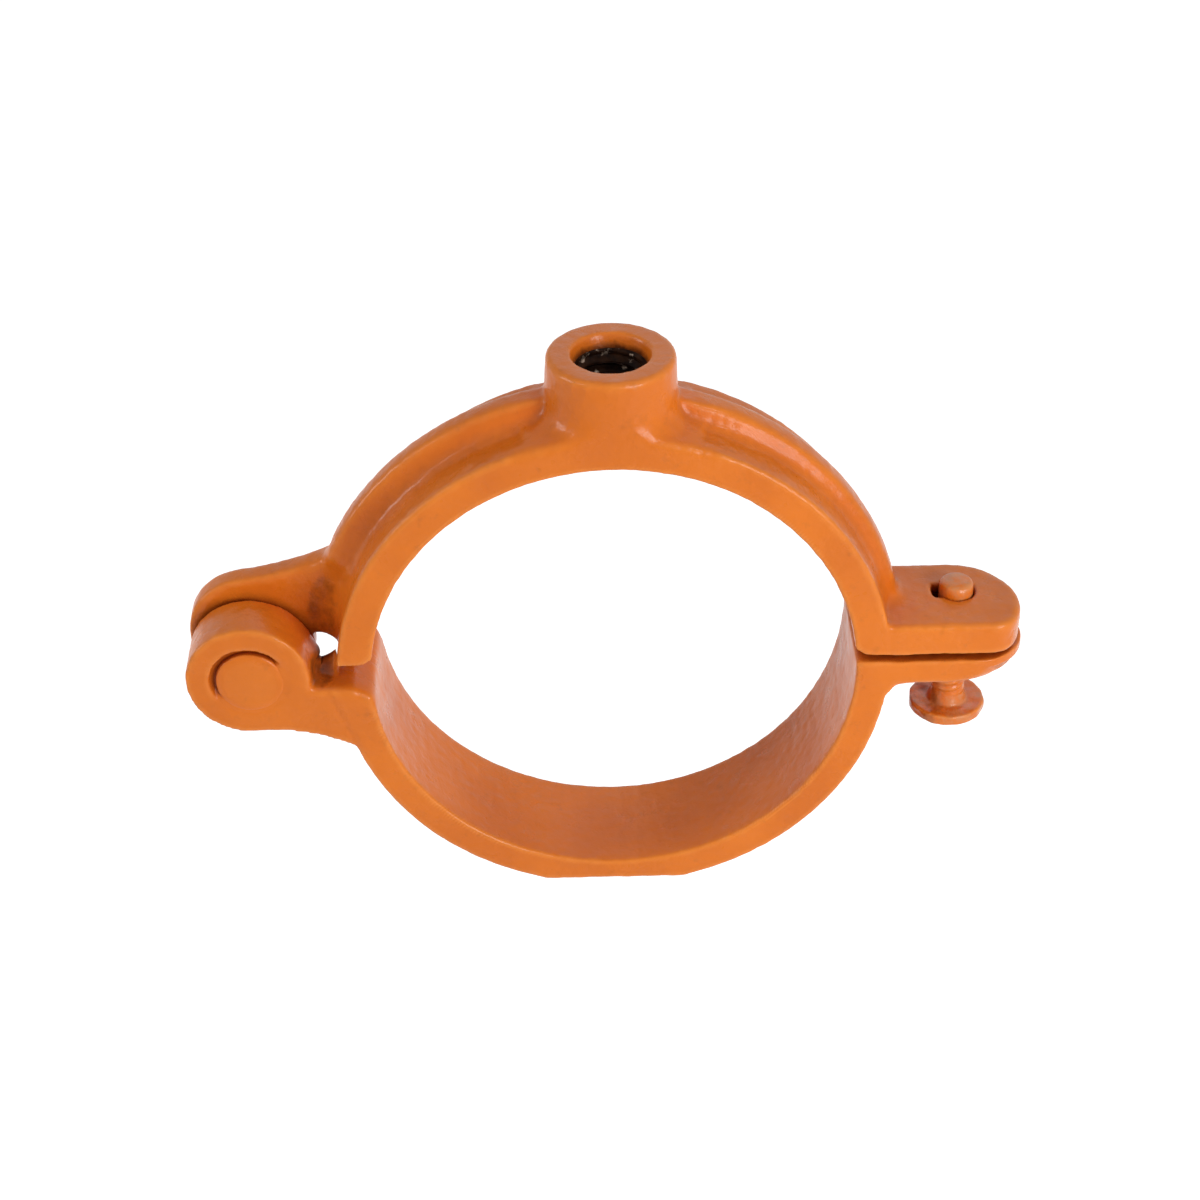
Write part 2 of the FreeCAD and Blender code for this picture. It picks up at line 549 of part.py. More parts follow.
boss.addConstraint(Sketcher.Constraint("Vertical", flare_arc, 3, flare_arc, 2))
drive(boss, "curve", "Radius", [flare_arc], flare_radius, "Sizes.bossFlare")
drive(boss, "top", "DistanceY", [-1, 1, boss_face, 1], boss_top, "Sizes.bossTop")
drive(boss, "across", "DistanceX", [boss_face, 1, boss_face, 2], boss_radius, "Sizes.bossRadius")
drive(boss, "wall", "DistanceX", [-1, 1, boss_wall, 2], wall_foot,
      "Sizes.bossRadius + (Sizes.bossTop - Sizes.boreRadius - Sizes.upperWall * 0.75"
      " - Sizes.bossFlare * (1 - sin(Sizes.bossDraft * 1 deg))) * tan(Sizes.bossDraft * 1 deg)")
drive(boss, "low", "DistanceY", [-1, 1, flare_arc, 2], flare_low,
      "Sizes.boreRadius + Sizes.upperWall * 0.75")
drive(boss, "base", "DistanceY", [-1, 1, boss_axis_side, 1], flare_base,
      "Sizes.boreRadius + Sizes.upperWall / 3")
doc.recompute()
boss_turn = upper.newObject("PartDesign::Revolution", "RodBossTurn")
boss_turn.Profile = boss
boss_turn.ReferenceAxis = (boss, ["V_Axis"])
boss_turn.Angle = 360
doc.recompute()


def trim_sketch(body, name, offset):
    # a square well beyond the boss, to cut what stands out past the band's side
    reach = 2 * (size("bossRadius") + size("bossFlare"))
    sketch = new_sketch(body, name, "XZ_Plane", offset)
    low = line(sketch, (-reach / 2, bore), (reach / 2, bore))
    right = line(sketch, (reach / 2, bore), (reach / 2, bore + reach))
    top = line(sketch, (reach / 2, bore + reach), (-reach / 2, bore + reach))
    left = line(sketch, (-reach / 2, bore + reach), (-reach / 2, bore))
    join(sketch, [(low, 2, right, 1), (right, 2, top, 1), (top, 2, left, 1), (left, 2, low, 1)])
    sketch.addConstraint(Sketcher.Constraint("Horizontal", top))
    sketch.addConstraint(Sketcher.Constraint("Vertical", right))
    sketch.addConstraint(Sketcher.Constraint("Vertical", left))
    sketch.addConstraint(Sketcher.Constraint("Symmetric", low, 1, low, 2, -2))
    drive(sketch, "span", "DistanceX", [low, 1, low, 2], reach,
          "2 * (Sizes.bossRadius + Sizes.bossFlare)")
    drive(sketch, "rise", "DistanceY", [right, 1, right, 2], reach,
          "2 * (Sizes.bossRadius + Sizes.bossFlare)")
    drive(sketch, "low", "DistanceY", [-1, 1, low, 1], bore, "Sizes.boreRadius")
    doc.recompute()
    return sketch


front_trim = trim_sketch(upper, "FrontTrim", "Sizes.bandWidth / 2")
pocket(upper, front_trim, "FrontTrimCut", "Sizes.bossRadius + Sizes.bossFlare", reverse=True)
rear_trim = trim_sketch(upper, "RearTrim", "-Sizes.bandWidth / 2")
pocket(upper, rear_trim, "RearTrimCut", "Sizes.bossRadius + Sizes.bossFlare")

# Holes of the upper half
rod_hole = circle_sketch(upper, "RodHole", "XY_Plane", centre_place,
                         (size("rodRadius"), "Sizes.rodRadius"), "Sizes.bossTop")
pocket(upper, rod_hole, "RodHoleCut", "Sizes.bossTop - Sizes.boreRadius / 2")
upper_hole_place = ((size("screwPlace") + size("upperHoleShift"),
                     "Sizes.screwPlace + Sizes.upperHoleShift"), (0, ""))
upper_hole = circle_sketch(upper, "UpperScrewHole", "XY_Plane", upper_hole_place,
                           (size("upperHoleRadius"), "Sizes.upperHoleRadius"),
                           "Sizes.upperSplit + Sizes.earUpperThickness")
pocket(upper, upper_hole, "UpperScrewHoleCut", "Sizes.earUpperThickness")
upper_pin_hole = circle_sketch(upper, "UpperPinHole", "XZ_Plane", pin_place,
                               (size("pinRadius") + size("pinClearance"),
                                "Sizes.pinRadius + Sizes.pinClearance"), web_front_formula)
pocket(upper, upper_pin_hole, "UpperPinHoleCut", "Sizes.webThickness + Sizes.rearBossLength")


# Countersunk mouth of the rod hole
mouth = new_sketch(upper, "RodMouth", "XZ_Plane")
mouth_radius = size("rodMouthRadius")
mouth_low = boss_top - size("rodMouthDepth")
mouth_axis_side = line(mouth, (0, mouth_low), (0, boss_top))
mouth_face = line(mouth, (0, boss_top), (mouth_radius, boss_top))
mouth_wall = line(mouth, (mouth_radius, boss_top), (size("rodRadius"), mouth_low))
mouth_floor = line(mouth, (size("rodRadius"), mouth_low), (0, mouth_low))
join(mouth, [(mouth_axis_side, 2, mouth_face, 1), (mouth_face, 2, mouth_wall, 1),
             (mouth_wall, 2, mouth_floor, 1), (mouth_floor, 2, mouth_axis_side, 1)])
mouth.addConstraint(Sketcher.Constraint("PointOnObject", mouth_axis_side, 1, -2))
mouth.addConstraint(Sketcher.Constraint("PointOnObject", mouth_axis_side, 2, -2))
mouth.addConstraint(Sketcher.Constraint("Horizontal", mouth_face))
mouth.addConstraint(Sketcher.Constraint("Horizontal", mouth_floor))
drive(mouth, "top", "DistanceY", [-1, 1, mouth_face, 1], boss_top, "Sizes.bossTop")
drive(mouth, "deep", "DistanceY", [mouth_axis_side, 1, mouth_axis_side, 2],
      size("rodMouthDepth"), "Sizes.rodMouthDepth")
drive(mouth, "wide", "DistanceX", [mouth_face, 1, mouth_face, 2], mouth_radius,
      "Sizes.rodMouthRadius")
drive(mouth, "narrow", "DistanceX", [mouth_floor, 2, mouth_floor, 1], size("rodRadius"),
      "Sizes.rodRadius")
doc.recompute()
mouth_cut = upper.newObject("PartDesign::Groove", "RodMouthCut")
mouth_cut.Profile = mouth
mouth_cut.ReferenceAxis = (mouth, ["V_Axis"])
mouth_cut.Angle = 360
doc.recompute()


def boss_rim_edge(edge):
    return circle_at(edge, boss_radius, z_axis, size("bossTop"))


round_edges(upper, "BossRim", "Sizes.edgeRound", boss_rim_edge)


def ear_outline(height):
    def test(edge):
        middle = middle_of(edge)
        return flat_edge(edge, z_axis, height) and middle.x > upper_outer + 1 and not circle_at(
            edge, size("upperHoleRadius"), z_axis, height)
    return test


round_edges(upper, "EarTopRound", "Sizes.edgeRound",
            ear_outline(split + size("earUpperThickness")))

# Lower half: band, ear, hinge lug and the flat underneath, one casting
lower = new_body("lower_half")
lower_outer = bore + size("lowerWall")
ear_cut = size("lowerSplitEar")
hinge_cut = size("lowerSplitHinge")
hinge_cut_inside = hinge_cut - size("hingeCutSlope")
low_band = new_sketch(lower, "LowerBand", "XZ_Plane")
right_inner = math.asin(ear_cut / bore)
right_outer = math.asin(ear_cut / lower_outer)
left_inner = math.pi - math.asin(hinge_cut_inside / bore)
left_outer = math.pi - math.asin(hinge_cut / lower_outer)
inner_arc = arc(low_band, (0, 0), bore, left_inner, 2 * math.pi + right_inner)
outer_arc = arc(low_band, (0, 0), lower_outer, left_outer, 2 * math.pi + right_outer)
right_end = line(low_band, (bore * math.cos(right_inner), ear_cut),
                 (lower_outer * math.cos(right_outer), ear_cut))
left_end = line(low_band, (bore * math.cos(left_inner), hinge_cut_inside),
                (lower_outer * math.cos(left_outer), hinge_cut))
join(low_band, [(right_end, 1, inner_arc, 2), (right_end, 2, outer_arc, 2),
                (left_end, 1, inner_arc, 1), (left_end, 2, outer_arc, 1),
                (inner_arc, 3, -1, 1), (outer_arc, 3, -1, 1)])
low_band.addConstraint(Sketcher.Constraint("Horizontal", right_end))
drive(low_band, "bore", "Radius", [inner_arc], bore, "Sizes.boreRadius")
drive(low_band, "outside", "Radius", [outer_arc], lower_outer,
      "Sizes.boreRadius + Sizes.lowerWall")
drive(low_band, "earCut", "DistanceY", [-1, 1, right_end, 1], ear_cut, "Sizes.lowerSplitEar")
drive(low_band, "hingeCut", "DistanceY", [left_end, 2, -1, 1], -hinge_cut,
      "-Sizes.lowerSplitHinge")
drive(low_band, "slope", "DistanceY", [left_end, 1, left_end, 2], size("hingeCutSlope"),
      "Sizes.hingeCutSlope")
pad(lower, low_band, "LowerBandPad", "Sizes.bandWidth", midplane=True)
round_edges(lower, "LowerBandRims", "Sizes.bandEdge", band_rim)

lower_ear = ear_sketch(lower, "LowerEar", size("earLowerExtra"), " + Sizes.earLowerExtra",
                       "earLowerCorner", "Sizes.lowerSplitEar - Sizes.earLowerThickness")
pad(lower, lower_ear, "LowerEarPad", "Sizes.earLowerThickness")


def under_ear(edge):
    # the inner corner where the ear's underside meets the band
    middle = middle_of(edge)
    return (along(edge, y_axis) and abs(math.hypot(middle.x, middle.z) - lower_outer) < 0.02
            and abs(middle.z - ear_cut + size("earLowerThickness")) < 0.02)


round_edges(lower, "UnderEarFillet", "Sizes.earFillet", under_ear)

# Front lug: an eye with a hollow-backed arm, flush with the band's front
lug = new_sketch(lower, "FrontLug", "XZ_Plane", "Sizes.bandWidth / 2")
arm_root = bore + size("lowerWall") * 0.7
arm_down = size("armRootDepth")
arm_x = -math.sqrt(arm_root ** 2 - arm_down ** 2)
arm_hollow = size("armHollow")
shoulder_turn = math.asin((hinge_cut - pin_z) / eye)
shoulder_x = pin_x + eye * math.cos(shoulder_turn)
inner_root = -(bore + size("lowerWall") / 2)
# the underside curve touches the eye from outside and ends at the arm's root
apart = eye + arm_hollow
span = math.hypot(arm_x - pin_x, -arm_down - pin_z)
toward = math.atan2(-arm_down - pin_z, arm_x - pin_x)
opening = math.acos((apart ** 2 + span ** 2 - arm_hollow ** 2) / (2 * apart * span))
hollow_centre = (pin_x + apart * math.cos(toward - opening),
                 pin_z + apart * math.sin(toward - opening))
eye_low = math.atan2(hollow_centre[1] - pin_z, hollow_centre[0] - pin_x)
hollow_end = math.atan2(-arm_down - hollow_centre[1], arm_x - hollow_centre[0])
lug_eye = arc(lug, (pin_x, pin_z), eye, shoulder_turn, 2 * math.pi + eye_low)
lug_hollow = arc(lug, hollow_centre, arm_hollow, hollow_end, math.pi + eye_low)
lug_root = line(lug, (arm_x, -arm_down), (inner_root, hinge_cut))
lug_shoulder = line(lug, (inner_root, hinge_cut), (shoulder_x, hinge_cut))
tangent(lug, [(lug_eye, 2, lug_hollow, 2)])
join(lug, [(lug_hollow, 1, lug_root, 1), (lug_root, 2, lug_shoulder, 1),
           (lug_shoulder, 2, lug_eye, 1)])
lug.addConstraint(Sketcher.Constraint("Horizontal", lug_shoulder))
drive(lug, "pinAcross", "DistanceX", [lug_eye, 3, -1, 1], -pin_x, "Sizes.pinPlace")
drive(lug, "pinUp", "DistanceY", [-1, 1, lug_eye, 3], pin_z, "Sizes.pinHeight")
drive(lug, "eye", "Radius", [lug_eye], eye, "Sizes.eyeRadius")
drive(lug, "hollow", "Radius", [lug_hollow], arm_hollow, "Sizes.armHollow")
drive(lug, "shoulder", "DistanceY", [lug_shoulder, 1, -1, 1], -hinge_cut,
      "-Sizes.lowerSplitHinge")
drive(lug, "inside", "DistanceX", [lug_root, 2, -1, 1], -inner_root,
      "Sizes.boreRadius + Sizes.lowerWall / 2")
drive(lug, "armDown", "DistanceY", [lug_root, 1, -1, 1], arm_down, "Sizes.armRootDepth")
drive(lug, "armAcross", "DistanceX", [lug_root, 1, -1, 1], -arm_x,
      "sqrt((Sizes.boreRadius + Sizes.lowerWall * 0.7) ^ 2 - Sizes.armRootDepth ^ 2)")
pad(lower, lug, "FrontLugPad", "Sizes.lugLowerThickness", reverse=True)

# Flat under the band
flat = new_sketch(lower, "BottomFlat", "XZ_Plane")
flat_top = -size("bottomFlat")
flat_low = flat_top - size("lowerWall") * 2
flat_half = bore
low = line(flat, (-flat_half, flat_low), (flat_half, flat_low))
right = line(flat, (flat_half, flat_low), (flat_half, flat_top))
top = line(flat, (flat_half, flat_top), (-flat_half, flat_top))
left = line(flat, (-flat_half, flat_top), (-flat_half, flat_low))
join(flat, [(low, 2, right, 1), (right, 2, top, 1), (top, 2, left, 1), (left, 2, low, 1)])
flat.addConstraint(Sketcher.Constraint("Vertical", right))
flat.addConstraint(Sketcher.Constraint("Vertical", left))
flat.addConstraint(Sketcher.Constraint("Horizontal", top))
flat.addConstraint(Sketcher.Constraint("Symmetric", low, 1, low, 2, -2))
drive(flat, "half", "DistanceX", [-1, 1, right, 1], flat_half, "Sizes.boreRadius")
drive(flat, "top", "DistanceY", [right, 2, -1, 1], -flat_top, "Sizes.bottomFlat")
drive(flat, "deep", "DistanceY", [right, 1, right, 2], flat_top - flat_low,
      "Sizes.lowerWall * 2")
doc.recompute()
pocket(lower, flat, "BottomFlatCut", "Sizes.bandWidth", midplane=True)

# Holes of the lower half
screw_place = ((size("screwPlace"), "Sizes.screwPlace"), (0, ""))
lower_hole = circle_sketch(lower, "LowerScrewHole", "XY_Plane", screw_place,
                           (size("screwRadius") + size("screwClearance"),
                            "Sizes.screwRadius + Sizes.screwClearance"), "Sizes.lowerSplitEar")
pocket(lower, lower_hole, "LowerScrewHoleCut", "Sizes.earLowerThickness")
recess = circle_sketch(lower, "PinHeadRecess", "XZ_Plane", pin_place,
                       (size("pinHeadRadius") + size("pinHeadGap"),
                        "Sizes.pinHeadRadius + Sizes.pinHeadGap"), "Sizes.bandWidth / 2")
pocket(lower, recess, "PinHeadRecessCut", "Sizes.pinHeadDepth")
lower_pin_hole = circle_sketch(lower, "LowerPinHole", "XZ_Plane", pin_place,
                               (size("pinRadius") + size("pinSeat"),
                                "Sizes.pinRadius + Sizes.pinSeat"), "Sizes.bandWidth / 2")
pocket(lower, lower_pin_hole, "LowerPinHoleCut", "Sizes.lugLowerThickness")

# Hinge pin: head in the recess, plain shank, riveted end behind the upper lug
pin = new_body("hinge_pin")
pin_sketch = new_sketch(pin, "PinProfile", "XY_Plane")
head_low = front_side + size("pinHeadDepth") - size("pinHeadHeight")
head_top = front_side + size("pinHeadDepth")
tail_low = lug_front + size("webThickness") + size("rearBossLength") + size("pinClearance")
tail_top = tail_low + size("pinTailHeight")
head = size("pinHeadRadius")
shank = size("pinRadius")
tail = size("pinTailRadius")
p_axis = line(pin_sketch, (pin_x, head_low), (pin_x, tail_top))
p_face = line(pin_sketch, (pin_x, head_low), (pin_x + head, head_low))
p_head = line(pin_sketch, (pin_x + head, head_low), (pin_x + head, head_top))
p_under = line(pin_sketch, (pin_x + head, head_top), (pin_x + shank, head_top))
p_shank = line(pin_sketch, (pin_x + shank, head_top), (pin_x + shank, tail_low))
p_tail = line(pin_sketch, (pin_x + shank, tail_low), (pin_x + tail, tail_low))
p_rim = line(pin_sketch, (pin_x + tail, tail_low), (pin_x + tail, tail_top))
p_end = line(pin_sketch, (pin_x + tail, tail_top), (pin_x, tail_top))
join(pin_sketch, [(p_axis, 1, p_face, 1), (p_face, 2, p_head, 1), (p_head, 2, p_under, 1),
                  (p_under, 2, p_shank, 1), (p_shank, 2, p_tail, 1), (p_tail, 2, p_rim, 1),
                  (p_rim, 2, p_end, 1), (p_end, 2, p_axis, 2)])
for part in (p_axis, p_head, p_shank, p_rim):
    pin_sketch.addConstraint(Sketcher.Constraint("Vertical", part))
for part in (p_face, p_under, p_tail, p_end):
    pin_sketch.addConstraint(Sketcher.Constraint("Horizontal", part))
drive(pin_sketch, "across", "DistanceX", [p_axis, 1, -1, 1], -pin_x, "Sizes.pinPlace")
drive(pin_sketch, "head", "DistanceX", [p_face, 1, p_face, 2], head, "Sizes.pinHeadRadius")
drive(pin_sketch, "shank", "DistanceX", [p_face, 1, p_shank, 1], shank, "Sizes.pinRadius")
drive(pin_sketch, "tail", "DistanceX", [p_face, 1, p_rim, 1], tail, "Sizes.pinTailRadius")
drive(pin_sketch, "face", "DistanceY", [p_face, 1, -1, 1], -head_low,
      "Sizes.bandWidth / 2 - Sizes.pinHeadDepth + Sizes.pinHeadHeight")
drive(pin_sketch, "headHeight", "DistanceY", [p_head, 1, p_head, 2], head_top - head_low,
      "Sizes.pinHeadHeight")
drive(pin_sketch, "grip", "DistanceY", [p_shank, 1, p_shank, 2], tail_low - head_top,
      "Sizes.lugLowerThickness + Sizes.lugGap + Sizes.webThickness + Sizes.rearBossLength"
      " + Sizes.pinClearance - Sizes.pinHeadDepth")
drive(pin_sketch, "tailHeight", "DistanceY", [p_rim, 1, p_rim, 2], tail_top - tail_low,
      "Sizes.pinTailHeight")
pin_sketch.setExpression("AttachmentOffset.Base.z", "Sizes.pinHeight")
doc.recompute()
pin_turn = pin.newObject("PartDesign::Revolution", "PinTurn")
pin_turn.Profile = pin_sketch
pin_turn.ReferenceAxis = (pin_sketch, ["Edge%d" % (p_axis + 1)])
pin_turn.Angle = 360
doc.recompute()


def pin_rims(edge):
    return (circle_at(edge, head, y_axis, head_low) or circle_at(edge, tail, y_axis, tail_top))


round_edges(pin, "PinRims", "Sizes.edgeRound", pin_rims)

# Clamping screw: chamfered end, plain shank for the thread, domed head with a slot
screw = new_body("clamp_screw")
screw_sketch = new_sketch(screw, "ScrewProfile", "XZ_Plane")
screw_x = size("screwPlace")
screw_end = size("screwTop")
under_head = screw_end - size("screwLength")
rim_low = under_head - size("screwHeadRim")
dome_low = rim_low - size("screwHeadDome")
thread = size("screwRadius")
tip = size("screwTipRadius")
cap = size("screwHeadRadius")
dome_radius = (cap ** 2 + size("screwHeadDome") ** 2) / (2 * size("screwHeadDome"))
dome_turn = math.asin(cap / dome_radius)
s_end = line(screw_sketch, (screw_x, screw_end), (screw_x + tip, screw_end))
s_bevel = line(screw_sketch, (screw_x + tip, screw_end),
               (screw_x + thread, screw_end - size("screwTipLength")))
s_shank = line(screw_sketch, (screw_x + thread, screw_end - size("screwTipLength")),
               (screw_x + thread, under_head))
s_under = line(screw_sketch, (screw_x + thread, under_head), (screw_x + cap, under_head))
s_rim = line(screw_sketch, (screw_x + cap, under_head), (screw_x + cap, rim_low))
s_dome = arc(screw_sketch, (screw_x, dome_low + dome_radius), dome_radius, -math.pi / 2,
             -math.pi / 2 + dome_turn)
s_axis = line(screw_sketch, (screw_x, dome_low), (screw_x, screw_end))
join(screw_sketch, [(s_end, 2, s_bevel, 1), (s_bevel, 2, s_shank, 1), (s_shank, 2, s_under, 1),
                    (s_under, 2, s_rim, 1), (s_rim, 2, s_dome, 2), (s_dome, 1, s_axis, 1),
                    (s_axis, 2, s_end, 1)])
for part in (s_shank, s_rim, s_axis):
    screw_sketch.addConstraint(Sketcher.Constraint("Vertical", part))
for part in (s_end, s_under):
    screw_sketch.addConstraint(Sketcher.Constraint("Horizontal", part))
screw_sketch.addConstraint(Sketcher.Constraint("PointOnObject", s_dome, 3, s_axis))
drive(screw_sketch, "across", "DistanceX", [-1, 1, s_axis, 1], screw_x, "Sizes.screwPlace")
drive(screw_sketch, "tip", "DistanceX", [s_end, 1, s_end, 2], tip, "Sizes.screwTipRadius")
drive(screw_sketch, "thread", "DistanceX", [s_end, 1, s_shank, 2], thread, "Sizes.screwRadius")
drive(screw_sketch, "cap", "DistanceX", [s_end, 1, s_rim, 1], cap, "Sizes.screwHeadRadius")
drive(screw_sketch, "end", "DistanceY", [-1, 1, s_end, 1], screw_end, "Sizes.screwTop")
drive(screw_sketch, "bevel", "DistanceY", [s_bevel, 2, s_bevel, 1], size("screwTipLength"),
      "Sizes.screwTipLength")
drive(screw_sketch, "length", "DistanceY", [s_shank, 2, s_end, 1], size("screwLength"),
      "Sizes.screwLength")
drive(screw_sketch, "rim", "DistanceY", [s_rim, 2, s_rim, 1], size("screwHeadRim"),
      "Sizes.screwHeadRim")
drive(screw_sketch, "dome", "DistanceY", [s_axis, 1, s_rim, 2], size("screwHeadDome"),
      "Sizes.screwHeadDome")
doc.recompute()
screw_turn = screw.newObject("PartDesign::Revolution", "ScrewTurn")
screw_turn.Profile = screw_sketch
screw_turn.ReferenceAxis = (screw_sketch, ["Edge%d" % (s_axis + 1)])
screw_turn.Angle = 360
doc.recompute()

slot = new_sketch(screw, "DriverSlot", "XY_Plane",
                  "Sizes.screwTop - Sizes.screwLength - Sizes.screwHeadRim - Sizes.screwHeadDome")
slot_half = size("slotWidth") / 2
slot_reach = cap * 1.2
low = line(slot, (screw_x - slot_reach, -slot_half), (screw_x + slot_reach, -slot_half))
right = line(slot, (screw_x + slot_reach, -slot_half), (screw_x + slot_reach, slot_half))
top = line(slot, (screw_x + slot_reach, slot_half), (screw_x - slot_reach, slot_half))
left = line(slot, (screw_x - slot_reach, slot_half), (screw_x - slot_reach, -slot_half))
join(slot, [(low, 2, right, 1), (right, 2, top, 1), (top, 2, left, 1), (left, 2, low, 1)])
slot.addConstraint(Sketcher.Constraint("Symmetric", low, 1, top, 2, -1))
slot.addConstraint(Sketcher.Constraint("Vertical", right))
slot.addConstraint(Sketcher.Constraint("Horizontal", low))
slot.addConstraint(Sketcher.Constraint("Horizontal", top))
drive(slot, "wide", "DistanceY", [right, 1, right, 2], slot_half * 2, "Sizes.slotWidth")
drive(slot, "near", "DistanceX", [-1, 1, left, 1], screw_x - slot_reach,
      "Sizes.screwPlace - Sizes.screwHeadRadius * 1.2")
drive(slot, "far", "DistanceX", [-1, 1, right, 1], screw_x + slot_reach,
      "Sizes.screwPlace + Sizes.screwHeadRadius * 1.2")
doc.recompute()
pocket(screw, slot, "DriverSlotCut", "Sizes.slotDepth", reverse=True)

nodes = [upper, lower, pin, screw]
doc.recompute()
for thing in doc.Objects:
    if "Invalid" in thing.State or "Error" in thing.State:
        raise RuntimeError(thing.Name + " failed: " + thing.getStatusString())
os.makedirs("parts", exist_ok=True)
for node in nodes:
    shape = node.Shape
    if shape.isNull() or not shape.isValid() or len(shape.Solids) != 1:
        raise RuntimeError(node.Label + " has no single sound solid")
    print(node.Label, "volume", round(shape.Volume, 1), "mm3")
    shape.exportStep("parts/" + node.Label + ".step")
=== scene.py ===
import math

import bmesh
import bpy
import numpy as np
from mathutils import Matrix, Vector


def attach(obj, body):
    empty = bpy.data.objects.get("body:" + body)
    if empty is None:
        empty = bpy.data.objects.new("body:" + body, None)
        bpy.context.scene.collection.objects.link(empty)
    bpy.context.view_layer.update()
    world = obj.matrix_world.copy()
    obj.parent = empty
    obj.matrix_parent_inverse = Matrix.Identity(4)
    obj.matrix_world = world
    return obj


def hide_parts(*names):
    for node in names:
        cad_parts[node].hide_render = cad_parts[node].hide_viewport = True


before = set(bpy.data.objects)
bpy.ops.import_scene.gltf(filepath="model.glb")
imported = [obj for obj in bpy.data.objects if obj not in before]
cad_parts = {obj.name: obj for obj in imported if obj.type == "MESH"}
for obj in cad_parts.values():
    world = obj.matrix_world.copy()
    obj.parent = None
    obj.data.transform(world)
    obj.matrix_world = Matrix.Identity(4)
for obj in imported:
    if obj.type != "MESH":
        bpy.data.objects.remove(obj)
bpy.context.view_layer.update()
print("frame loaded:", ", ".join(sorted(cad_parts)))

mm = 0.001
scene = bpy.context.scene

# places that several pieces share: x of the screw, x and radius of the upper ear's hole, x
# where the ears begin, and x and z of the hinge pin
screwAxis = 47.8 * mm
earHole = (47.3 * mm, 3.3 * mm)
earsFrom = 40 * mm
hingeAxis = (-50.3 * mm, 0.45 * mm)

tiny = 1e-6                                          # points closer than this are one
sliver = 1e-7                                        # edges shorter than this go
skinWaves = 48                                       # sine waves in each set for a whole skin
fewWaves = 12                                        # the same for a single place


# a new object with this mesh, linked to the scene
def linkObject(name, mesh):
    piece = bpy.data.objects.new(name, mesh)
    scene.collection.objects.link(piece)
    return piece


# four-sided faces of a grid of points: a point's number = its row times the columns plus
# its column, and wrap joins the last column to the first
def gridFaces(rows, columns, wrap):
    across = columns if wrap else columns - 1
    row, column = np.meshgrid(np.arange(rows - 1), np.arange(across), indexing="ij")
    nextColumn = (column + 1) % columns
    corners = [row * columns + column, row * columns + nextColumn,
               (row + 1) * columns + nextColumn, (row + 1) * columns + column]
    return np.stack(corners, -1).reshape(-1, 4)


# merges doubled points, which also closes poles, and turns every face outwards
def closedMesh(name, points, faces):
    mesh = bpy.data.meshes.new(name)
    mesh.from_pydata(points.tolist(), [], faces.tolist())
    work = bmesh.new()
    work.from_mesh(mesh)
    bmesh.ops.remove_doubles(work, verts=work.verts, dist=tiny)
    bmesh.ops.dissolve_degenerate(work, edges=work.edges, dist=sliver)
    bmesh.ops.recalc_face_normals(work, faces=work.faces)
    work.to_mesh(mesh)
    work.free()
    mesh.shade_smooth()
    return mesh


# profile in (radius, height) with soft corners, each a curve from a point before the corner
# to one after it: (1 - t)^2 times the start, 2 t (1 - t) times the corner, t^2 times the end
def softProfile(corners, softness, steps):
    mostOfSide = 0.45                                # share of a side that a corner may take
    corners = np.array(corners, float)
    t = np.linspace(0, 1, steps)[:, None]
    pieces = [corners[:1]]
    for before, corner, after in zip(corners[:-2], corners[1:-1], corners[2:]):
        toBefore = before - corner
        toAfter = after - corner
        start = corner + toBefore * min(mostOfSide, softness / np.linalg.norm(toBefore))
        end = corner + toAfter * min(mostOfSide, softness / np.linalg.norm(toAfter))
        pieces.append((1 - t) ** 2 * start + 2 * t * (1 - t) * corner + t ** 2 * end)
    pieces.append(corners[-1:])
    return np.concatenate(pieces)


# sum of sine waves in random directions, with wavelengths spread evenly on a log
# scale between two limits and a random phase each, scaled to a spread of about 1
def castWaves(points, seed, shortest, longest, count):
    rng = np.random.default_rng(seed)
    directions = rng.normal(size=(count, 3))
    directions /= np.linalg.norm(directions, axis=1)[:, None]
    lengths = np.exp(rng.uniform(math.log(shortest), math.log(longest), count))
    phases = rng.uniform(0, 2 * math.pi, count)
    total = np.zeros(len(points))
    for direction, length, phase in zip(directions, lengths, phases):
        total += np.sin(2 * math.pi * (points @ direction) / length + phase)
    return total * math.sqrt(2 / count)


# 3 t^2 less 2 t^3, where t is the share of the way from low to high, kept from 0 to 1
def smoothStep(value, low, high):
    t = np.clip((value - low) / (high - low), 0, 1)
    return t * t * (3 - 2 * t)


# points, normals and edges of a mesh as whole arrays
def readPoints(mesh):
    points = np.zeros(len(mesh.vertices) * 3)
    mesh.vertices.foreach_get("co", points)
    return points.reshape(-1, 3)


def readNormals(mesh):
    normals = np.zeros(len(mesh.vertices) * 3)
    mesh.vertex_normals.foreach_get("vector", normals)
    return normals.reshape(-1, 3)


def readEdges(mesh):
    edges = np.zeros(len(mesh.edges) * 2, np.int32)
    mesh.edges.foreach_get("vertices", edges)
    return edges.reshape(-1, 2)


# sum of the values of every point's neighbours along the edges, divided by their number
def neighbourMean(edges, values):
    count = np.bincount(edges.ravel(), minlength=len(values)).astype(float)
    sums = [np.bincount(edges[:, 0], values[:, k][edges[:, 1]], len(values))
            + np.bincount(edges[:, 1], values[:, k][edges[:, 0]], len(values))
            for k in range(values.shape[1])]
    return np.stack(sums, -1) / np.maximum(count, 1)[:, None]


